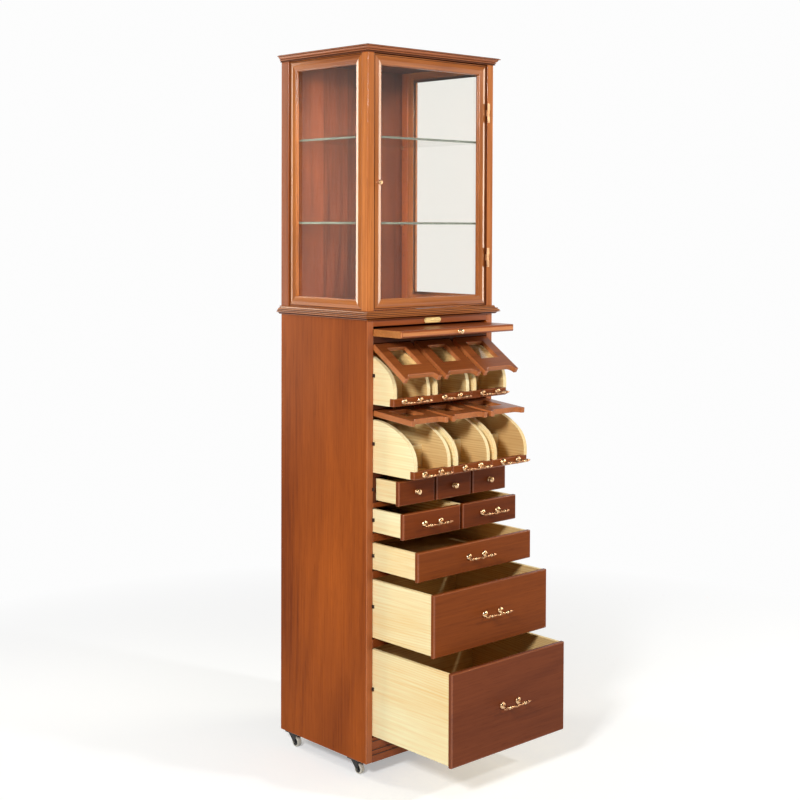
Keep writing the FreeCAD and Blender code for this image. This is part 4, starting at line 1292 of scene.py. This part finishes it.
@dataclass
class Brasses:
    """Turned knobs, cast bow pulls, the door's hinges, the plaque and the shelf pins.

    The bar's swells are pairs of a distance from its middle and a half height there, in
    millimetres. The plaque's studs are pairs of a distance from its middle and a radius. Of
    the case's brasses only the plaque and the hinges are longer than the size called large.
    """

    post_gap: float = 59 * MM
    head: float = 5 * MM
    reach: float = 30 * MM
    boss: float = 9.4 * MM
    leaf: float = 22 * MM
    knuckle: float = 4.5 * MM
    bow: float = 1.2 * MM
    bar_steps: int = 120
    swells: tuple[tuple[float, float], ...] = (
        (0, 4.5), (3, 3.2), (4, 2.2), (5.5, 3.4), (7.5, 2.0), (14, 1.8), (20, 3.6), (25, 2.2),
        (29.5, 3.0), (34, 2.0), (40, 4.6), (46, 2.8), (48.5, 1.3), (50, 2.1), (51.5, 0.5))
    studs: tuple[tuple[float, float], ...] = (
        (-22 * MM, 3.2 * MM), (-12 * MM, 3.2 * MM), (0.0, 4.4 * MM), (12 * MM, 3.2 * MM),
        (22 * MM, 3.2 * MM))
    large: float = 40 * MM

    @staticmethod
    def knob(shape: Shape, low: Vector, high: Vector) -> None:
        """Adds a turned knob with a wide foot, a stout neck and a rounded head.

        Args:
            shape: takes the knob.
            low: the lowest corner of the box that it fills.
            high: the highest one; the knob stands out from there to the front.
        """
        radius, reach = (high.x - low.x) / 2, high.y - low.y
        head = arc((radius - 3.6 * MM, reach - 4.0 * MM), 3.6 * MM, -55, 72, 8)
        section = [
            (0.0, 0.0), (0.82 * radius, 0.0), (0.88 * radius, 0.7 * MM), (0.8 * radius, 1.6 * MM),
            (0.62 * radius, 2.4 * MM), (0.56 * radius, 0.3 * reach), (0.6 * radius, 0.42 * reach),
            *head, (0.45 * radius, reach - 0.1 * MM), (0.0, reach)]
        at = Vector(((low.x + high.x) / 2, high.y, (low.z + high.z) / 2))
        shape.add(lathe(section, facing_front(at)), BRASS)

    def swell_at(self, distance: float) -> float:
        """Half height of the bar, smooth between the pairs.

        Args:
            distance: how far from the bar's middle.

        Returns:
            The half height there.
        """
        far = distance / MM
        for (start, low), (end, high) in zip(self.swells, self.swells[1:]):
            if far <= end:
                share = (far - start) / (end - start)
                return (low + (high - low) * (0.5 - 0.5 * math.cos(math.pi * share))) * MM
        return self.swells[-1][1] * MM

    def pull(self, shape: Shape, at: Vector) -> None:
        """Adds a bow pull: two bosses with necked posts, and a leaf-ended bar across them.

        Args:
            shape: takes the parts.
            at: the middle between the posts, on the face they stand on.
        """
        reach, boss, knuckle = self.reach, self.boss, self.knuckle
        dome = [(boss * math.cos(a), 0.8 * MM + 0.62 * boss * math.sin(a))
                for a in (math.radians(10 * n) for n in range(7))]
        post = [(0.0, 0.0), (boss, 0.0), *dome, (2.9 * MM, 5.6 * MM), (2.4 * MM, 8 * MM),
                (2.3 * MM, reach - 11 * MM), (3.2 * MM, reach - 9 * MM),
                *arc((0.0, reach - knuckle), knuckle, -50, 80, 8), (0.0, reach)]
        for side in (-1, 1):
            foot = at + Vector((side * self.post_gap / 2, 0, 0))
            shape.add(lathe(post, facing_front(foot), 28), BRASS)
        half = self.post_gap / 2 + self.leaf
        spine, sizes = [], []
        for n in range(self.bar_steps + 1):
            x = half * (-1 + 2 * n / self.bar_steps)
            up = self.swell_at(abs(x))
            sag = self.bow * math.cos(math.pi * x / self.post_gap) if abs(x) < half / 2 else 0.0
            spine.append(at + Vector((x, knuckle - reach, -sag)))
            sizes.append((up, min(max(0.8 * up, 1.6 * MM), up, 4.2 * MM)))
        shape.add(sweep(spine, sizes), BAR_BRASS)

    def door_brass(self) -> None:
        """Builds the door's knob and its halves of the hinges."""
        shape = Shape("door_brass")
        for solid in solids_of("door_fittings"):
            low, high = bounds_of(solid)
            if low.x < 0:
                self.knob(shape, low, high)
            else:
                shape.add(solid, HINGE_BRASS, ease=0.2 * MM)
        shape.finish("door", ["door_fittings"], crease=40)

    def case_brass(self) -> None:
        """Builds the plaque with its beaded border, the hinge halves and the shelf pins."""
        shape = Shape("case_brass")
        for solid in solids_of("brass_fittings"):
            low, high = bounds_of(solid)
            middle, size = (low + high) / 2, high - low
            if size.x > self.large:
                plaque = (low, high)
                shape.add(solid, PLATE, ease=0.5 * MM)
            elif size.z > self.large:
                shape.add(solid, HINGE_BRASS, ease=0.2 * MM)
            else:
                long = size.x
                section = [(0.0, 0.0), (2.2 * MM, 0.0), (2.5 * MM, 0.4 * MM),
                           (2.5 * MM, long - 0.4 * MM), (2.1 * MM, long), (0.0, long)]
                place = turned_at((low.x, middle.y, middle.z), 90, "Y")
                shape.add(lathe(section, place, 20), BRASS)
        low, high = plaque
        middle = (low + high) / 2
        for x, radius in self.studs:
            stud = arc((0.0, 0.0), radius, 0, 90, 8)[:-1] + [(0.0, radius)]
            place = (facing_front(Vector((middle.x + x, low.y + 0.4 * MM, middle.z)))
                     @ Matrix.Diagonal((1.5, 0.8, 0.35, 1.0)))
            shape.add(lathe(stud, place, 28), PLATE)
        shape.finish("root", ["brass_fittings"], crease=40)
        Repeats.piece("plaque_beading", PLATE, Repeats.border(), [{
            "Centre": (middle.x, low.y, middle.z), "Width": high.x - low.x - 10 * MM,
            "Height": high.z - low.z - 4 * MM, "Count": 60, "Radius": 0.7 * MM}])

    def build(self) -> None:
        """Builds all the brass but the pulls on the bins."""
        self.case_brass()
        self.door_brass()
        knobs = [("slide_knob", "slide")]
        knobs += [(f"knob_3_{side}", f"drawer_3_{side}") for side in SIDES]
        for node, body in knobs:
            shape = Shape(f"{node}_turned")
            self.knob(shape, *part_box(node))
            shape.finish(body, [node], crease=50)
        for place in ("4_left", "4_right", "5", "6", "7"):
            low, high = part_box(f"pull_{place}")
            shape = Shape(f"pull_{place}_cast")
            self.pull(shape, Vector(((low.x + high.x) / 2, high.y, high.z - self.head)))
            shape.finish(f"drawer_{place}", [f"pull_{place}"], crease=50)


@dataclass
class Boxes:
    """The drawers, the slide board, and the bins with their lids.

    A drawer's front is the solid that starts within the front band behind its foremost point.
    A bin's solids are told apart by size: boards are deep or tall, the lip is wide, and of
    the rest only the pull's bar is wide.
    """

    front_ease: float = 2.2 * MM
    box_ease: float = 0.5 * MM
    lid_ease: float = 1.8 * MM
    front_band: float = 2 * MM
    board_depth: float = 40 * MM
    board_height: float = 60 * MM
    lip_width: float = 120 * MM
    bar_width: float = 80 * MM

    def drawer(self, node: str, finish: Wood) -> None:
        """Builds one drawer: a stained front and a pine box.

        Args:
            node: the drawer's node, and its body.
            finish: the finish of its front.
        """
        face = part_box(node)[0].y
        shape = Shape(f"{node}_joined")
        for solid in solids_of(node):
            if bounds_of(solid)[0].y < face + self.front_band:
                shape.add(solid, finish, Axis.X, FRONT_EDGE, self.front_ease / 2)
            else:
                shape.add(solid, PINE, edge=PINE_EDGE, ease=self.box_ease)
        # Painted shade: faces inside the box take the darker pine.
        shape.line(node, PINE, PINE_INSIDE_SHADE)
        shape.finish(node, [node])

    def bin(self, node: str, brasses: Brasses) -> None:
        """Builds one bin: pine quadrant box, stained lip and a bow pull.

        Args:
            node: the bin's node, and its body.
            brasses: makes the pull.
        """
        shape = Shape(f"{node}_joined")
        face, bar = 0.0, Vector()
        for solid in solids_of(node):
            low, high = bounds_of(solid)
            size = high - low
            if size.y > self.board_depth or size.z > self.board_height:
                along = Axis.Y if size.y > self.board_depth else Axis.X
                shape.add(solid, PINE, along, PINE_EDGE, self.box_ease)
            elif size.x > self.lip_width:
                shape.add(solid, FRONT, Axis.X, FRONT_EDGE, self.front_ease, 3)
                face = low.y
            else:
                if size.x > self.bar_width:
                    bar = (low + high) / 2
                solid.free()
        # Painted shade: faces inside the bin take the darker pine.
        shape.line(node, PINE, PINE_INSIDE_SHADE)
        shape.finish(node, [node])
        brass = Shape(f"{node}_pull")
        brasses.pull(brass, Vector((bar.x, face, bar.z)))
        brass.finish(node, crease=50)

    def lid(self, body: str) -> None:
        """Builds the wood of one lid.

        Args:
            body: the lid's body.
        """
        shape = Shape(f"{body}_frame_wood")
        for solid in solids_of(f"{body}_frame"):
            shape.add(solid, LID, edge=LID_EDGE, ease=self.lid_ease, steps=3, rim=LID_RIM)
        shape.finish(body, [f"{body}_frame"])

    def slide(self) -> None:
        """Builds the slide board, with raw ends."""
        shape = Shape("slide_board_wood")
        for solid in solids_of("slide_board"):
            shape.add(solid, RAIL, Axis.X, RAIL_EDGE, 2 * self.box_ease, rim=SLIDE_RIM)
            shape.paint(solid, RAW, lambda face: abs(face.normal.x) > FACING)
        shape.finish("slide", ["slide_board"])

    def build(self, brasses: Brasses) -> None:
        """Builds the drawers, bins, lids and the slide board.

        Args:
            brasses: makes the pulls on the bins.
        """
        for place, finish in (
            ("3_left", FRONT_SHADED), ("3_middle", FRONT_SHADED), ("3_right", FRONT_SHADED),
            ("4_left", FRONT_SHADED), ("4_right", FRONT_SHADED), ("5", FRONT), ("6", FRONT),
            ("7", FRONT_DEEP),
        ):
            self.drawer(f"drawer_{place}", finish)
        for row in ROWS:
            for side in SIDES:
                self.bin(f"bin_{row}_{side}", brasses)
                self.lid(f"lid_{row}_{side}")
        self.slide()


@dataclass
class Casters:
    """Screwed plates, swivelling forks and rolling wheels."""

    tyre: float = 4 * MM
    bore: float = 2.8 * MM
    shoulder: float = 2.2 * MM
    screw_inset: float = 6 * MM
    screw_radius: float = 2.8 * MM
    screw_proud: float = 0.9 * MM

    def build(self) -> None:
        """Builds the plates, and the fork and wheel of each caster."""
        shape = Shape("caster_plates_pressed")
        runs = []
        race = [(0.0, 0.0), (13 * MM, 0.0), (13.5 * MM, -0.25 * MM), (0.0, -0.3 * MM)]
        for solid in solids_of("caster_plates"):
            low, high = bounds_of(solid)
            shape.add(solid, ENAMEL, ease=0.8 * MM)
            middle = (low + high) / 2
            shape.add(lathe(race, Matrix.Translation((middle.x, middle.y, low.z))), ENAMEL)
            step = high.x - low.x - 2 * self.screw_inset
            for y in (low.y + self.screw_inset, high.y - self.screw_inset):
                runs.append({
                    "Start": (low.x + self.screw_inset, y, low.z), "Step": (step, 0.0, 0.0),
                    "Count": 2, "Turn": (0.0, 0.0, 0.0), "Radius": self.screw_radius,
                    "Depth": self.screw_proud})
        shape.finish("root", ["caster_plates"])
        Repeats.piece("caster_screws", STEEL, Repeats.row(), runs)
        for place in ("front_left", "front_right", "rear_left", "rear_right"):
            self.fork(place)
            self.wheel(place)

    def fork(self, place: str) -> None:
        """Builds one fork with eased edges and bolt heads at the axle.

        Args:
            place: which caster's fork.
        """
        node = f"fork_{place}"
        shape = Shape(f"{node}_pressed")
        for solid in solids_of(node):
            shape.add(solid, ENAMEL, ease=0.7 * MM)
        low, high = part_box(node)
        axle = sum(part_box(f"wheel_{place}"), Vector()) / 2
        cap = [(0.0, 0.0), (3.4 * MM, 0.0), (3.4 * MM, 0.9 * MM), (2.2 * MM, 1.6 * MM),
               (0.0, 1.8 * MM)]
        for side, x in ((-1, low.x), (1, high.x)):
            shape.add(lathe(cap, turned_at((x, axle.y, axle.z), 90 * side, "Y"), 24), STEEL)
        shape.finish(node, [node])

    def wheel(self, place: str) -> None:
        """Builds one wheel: black core with a pale rounded tread.

        Args:
            place: which caster's wheel.
        """
        node = f"wheel_{place}"
        low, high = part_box(node)
        half, radius = (high.x - low.x) / 2, (high.z - low.z) / 2
        stand = turned_at((low + high) / 2, 90, "Y")
        shape = Shape(f"{node}_treaded")
        rim, bore, shoulder = radius - self.tyre, self.bore, self.shoulder
        core = [(bore, -half), (bore + 2.5 * MM, -half), (bore + 3.2 * MM, -half + 1.2 * MM),
                (rim - 1.2 * MM, -half + 1.2 * MM), (rim, -half + 0.4 * MM),
                (rim, half - 0.4 * MM), (rim - 1.2 * MM, half - 1.2 * MM),
                (bore + 3.2 * MM, half - 1.2 * MM), (bore + 2.5 * MM, half), (bore, half)]
        shape.add(hoop(core, stand), CORE)
        tread = [(rim, -half), *arc((radius - shoulder, -half + shoulder), shoulder, -90, 0, 5),
                 *arc((radius - shoulder, half - shoulder), shoulder, 0, 90, 5), (rim, half)]
        shape.add(hoop(tread, stand), TREAD)
        shape.finish(node, [node])


# ------------------------------------------------------------------ camera, light, floor


WHITE: Color = (1.0, 1.0, 1.0)
WARM: Color = (1.0, 0.94, 0.8)


@dataclass
class Studio:
    """The floor, the light and the camera.

    The paper is the pale part of what metal and glass reflect: where it starts, as a cosine
    from straight behind the cabinet, and how fast it brightens. The floor's tone fades into
    the backdrop between two distances from the cabinet; as the fade starts close to it, the
    floor round the base stays darker, partly real shadow and partly painted shade.
    """

    camera_at: Vector = field(default_factory=lambda: Vector((-2.7070, -2.8252, 1.47705)))
    yaw: float = math.radians(42.666)
    pitch: float = math.radians(1.537)
    roll: float = math.radians(0.199)
    lens: float = 63.93
    sensor: float = 36.0
    shift_down: float = 0.1715
    farthest: float = 60.0
    ambient: float = 0.1
    room: float = 0.06
    paper: tuple[float, float] = (0.3, 2.2)
    backdrop: float = 0.98
    floor_reach: float = 14.0
    floor_tone: Color = (0.76, 0.78, 0.795)
    floor_lift: float = 0.38
    floor_fade: tuple[float, float] = (0.35, 2.3)

    def build(self) -> None:
        """Sets up the whole studio."""
        self.view()
        self.world()
        self.floor()
        chest, middle = Vector((-0.2, 0.15, 1.2)), Vector((0.0, 0.0, 1.0))
        self.lamp("left_window", Vector((-3.0, -1.6, 2.25)), middle, (0.5, 0.5), 100.0)
        self.lamp("rear_left_strip", Vector((-0.82, 1.6, 1.55)), chest, (0.36, 1.8), 17.0, WARM)
        self.lamp("right_strip", Vector((2.6, -1.15, 1.5)), middle, (0.9, 1.9), 40.0, WARM)
        self.lamp("front_right", Vector((1.45, -3.4, 2.9)), middle, (0.25, 0.25), 54.0)

    def view(self) -> None:
        """Places the camera."""
        ahead = Vector((math.sin(self.yaw) * math.cos(self.pitch),
                        math.cos(self.yaw) * math.cos(self.pitch), -math.sin(self.pitch)))
        right = Vector((math.cos(self.yaw), -math.sin(self.yaw), 0.0))
        up = right.cross(ahead)
        turned_right = right * math.cos(self.roll) + up * math.sin(self.roll)
        turned_up = up * math.cos(self.roll) - right * math.sin(self.roll)
        lens = bpy.data.cameras.new("photographer")
        lens.lens = self.lens
        lens.sensor_width = self.sensor
        lens.sensor_fit = "HORIZONTAL"
        lens.shift_y = -self.shift_down
        lens.clip_end = self.farthest
        camera = bpy.data.objects.new("photographer", lens)
        axes = Matrix((turned_right, turned_up, -ahead)).transposed()
        camera.matrix_world = Matrix.Translation(self.camera_at) @ axes.to_4x4()
        bpy.context.scene.collection.objects.link(camera)
        bpy.context.scene.camera = camera

    def world(self) -> None:
        """White paper behind the cabinet, a dark room before it, a plain ambient light."""
        world = bpy.data.worlds.new("studio")
        bpy.context.scene.world = world
        world.use_nodes = True
        tree = Tree(world.node_tree)
        path = tree.node("ShaderNodeLightPath")
        seen = tree.larger(path["Is Camera Ray"], path["Is Transmission Ray"])
        way = tree.node("ShaderNodeTexCoord")["Generated"]
        towards = (math.sin(self.yaw), math.cos(self.yaw), 0.0)
        behind = tree.node("ShaderNodeVectorMath", {0: way, 1: towards}, operation="DOT_PRODUCT")
        paper = tree.ramp(behind["Value"], *self.paper)
        shine = tree.times(tree.larger(paper, self.room), path["Is Glossy Ray"])
        soft = tree.times(path["Is Diffuse Ray"], self.ambient)
        strength = tree.larger(tree.times(seen, self.backdrop), tree.larger(shine, soft))
        glow = tree.node("ShaderNodeBackground", {"Color": WHITE, "Strength": strength})
        tree.node("ShaderNodeOutputWorld", {"Surface": glow["Background"]})

    def floor(self) -> None:
        """Pale paper on the floor that runs into the white backdrop without a line."""
        mesh = bpy.data.meshes.new("floor")
        reach = self.floor_reach
        corners = [(-reach, -reach, 0), (reach, -reach, 0), (reach, reach, 0), (-reach, reach, 0)]
        mesh.from_pydata(corners, [], [(0, 1, 2, 3)])
        material, tree = new_material("pale_floor")
        path = tree.node("ShaderNodeLightPath")
        seen = tree.larger(path["Is Camera Ray"],
                           tree.larger(path["Is Transmission Ray"], path["Is Glossy Ray"]))
        where = tree.node("ShaderNodeTexCoord")["Object"]
        far = tree.node("ShaderNodeVectorMath", {0: where}, operation="LENGTH")["Value"]
        # Brightening with distance hides the horizon and also paints soft shade round the base.
        start, end = self.floor_fade
        away = tree.ramp(far, start, 1 / (end - start))
        paper = tree.node("ShaderNodeBsdfDiffuse", {"Color": self.floor_tone})
        lift = tree.node("ShaderNodeEmission", {"Strength": tree.times(seen, self.floor_lift)})
        near = tree.node("ShaderNodeAddShader", {0: paper["BSDF"], 1: lift["Emission"]})
        white = tree.node("ShaderNodeEmission", {"Strength": self.backdrop})
        both = tree.node("ShaderNodeMixShader", {
            0: tree.times(seen, away), 1: near["Shader"], 2: white["Emission"]})
        tree.node("ShaderNodeOutputMaterial", {"Surface": both["Shader"]})
        mesh.materials.append(material)
        piece = bpy.data.objects.new("floor", mesh)
        bpy.context.scene.collection.objects.link(piece)

    @staticmethod
    def lamp(name: str, at: Vector, target: Vector, size: tuple[float, float],
             power: float, color: Color = WHITE) -> None:
        """Adds a soft lamp that faces a point and isn't seen itself.

        Args:
            name: its name.
            at: where it stands.
            target: the point it faces.
            size: its width and height in metres.
            power: its power in watts.
            color: the colour of its light.
        """
        light = bpy.data.lights.new(name, "AREA")
        light.shape = "RECTANGLE"
        light.size, light.size_y = size
        light.energy = power
        light.color = color
        lamp = bpy.data.objects.new(name, light)
        facing = (target - at).to_track_quat("-Z", "Y").to_matrix().to_4x4()
        lamp.matrix_world = Matrix.Translation(at) @ facing
        lamp.visible_camera = False
        lamp.visible_transmission = False
        bpy.context.scene.collection.objects.link(lamp)


def main() -> None:
    """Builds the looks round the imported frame."""
    logging.basicConfig(level=logging.INFO, format="%(name)s %(message)s")
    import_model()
    bpy.context.scene.view_settings.view_transform = "Standard"
    brasses = Brasses()
    Carcass().build()
    Mouldings().build()
    Glazier().build()
    brasses.build()
    Boxes().build(brasses)
    Casters().build()
    Studio().build()


if __name__ == "__main__":
    main()
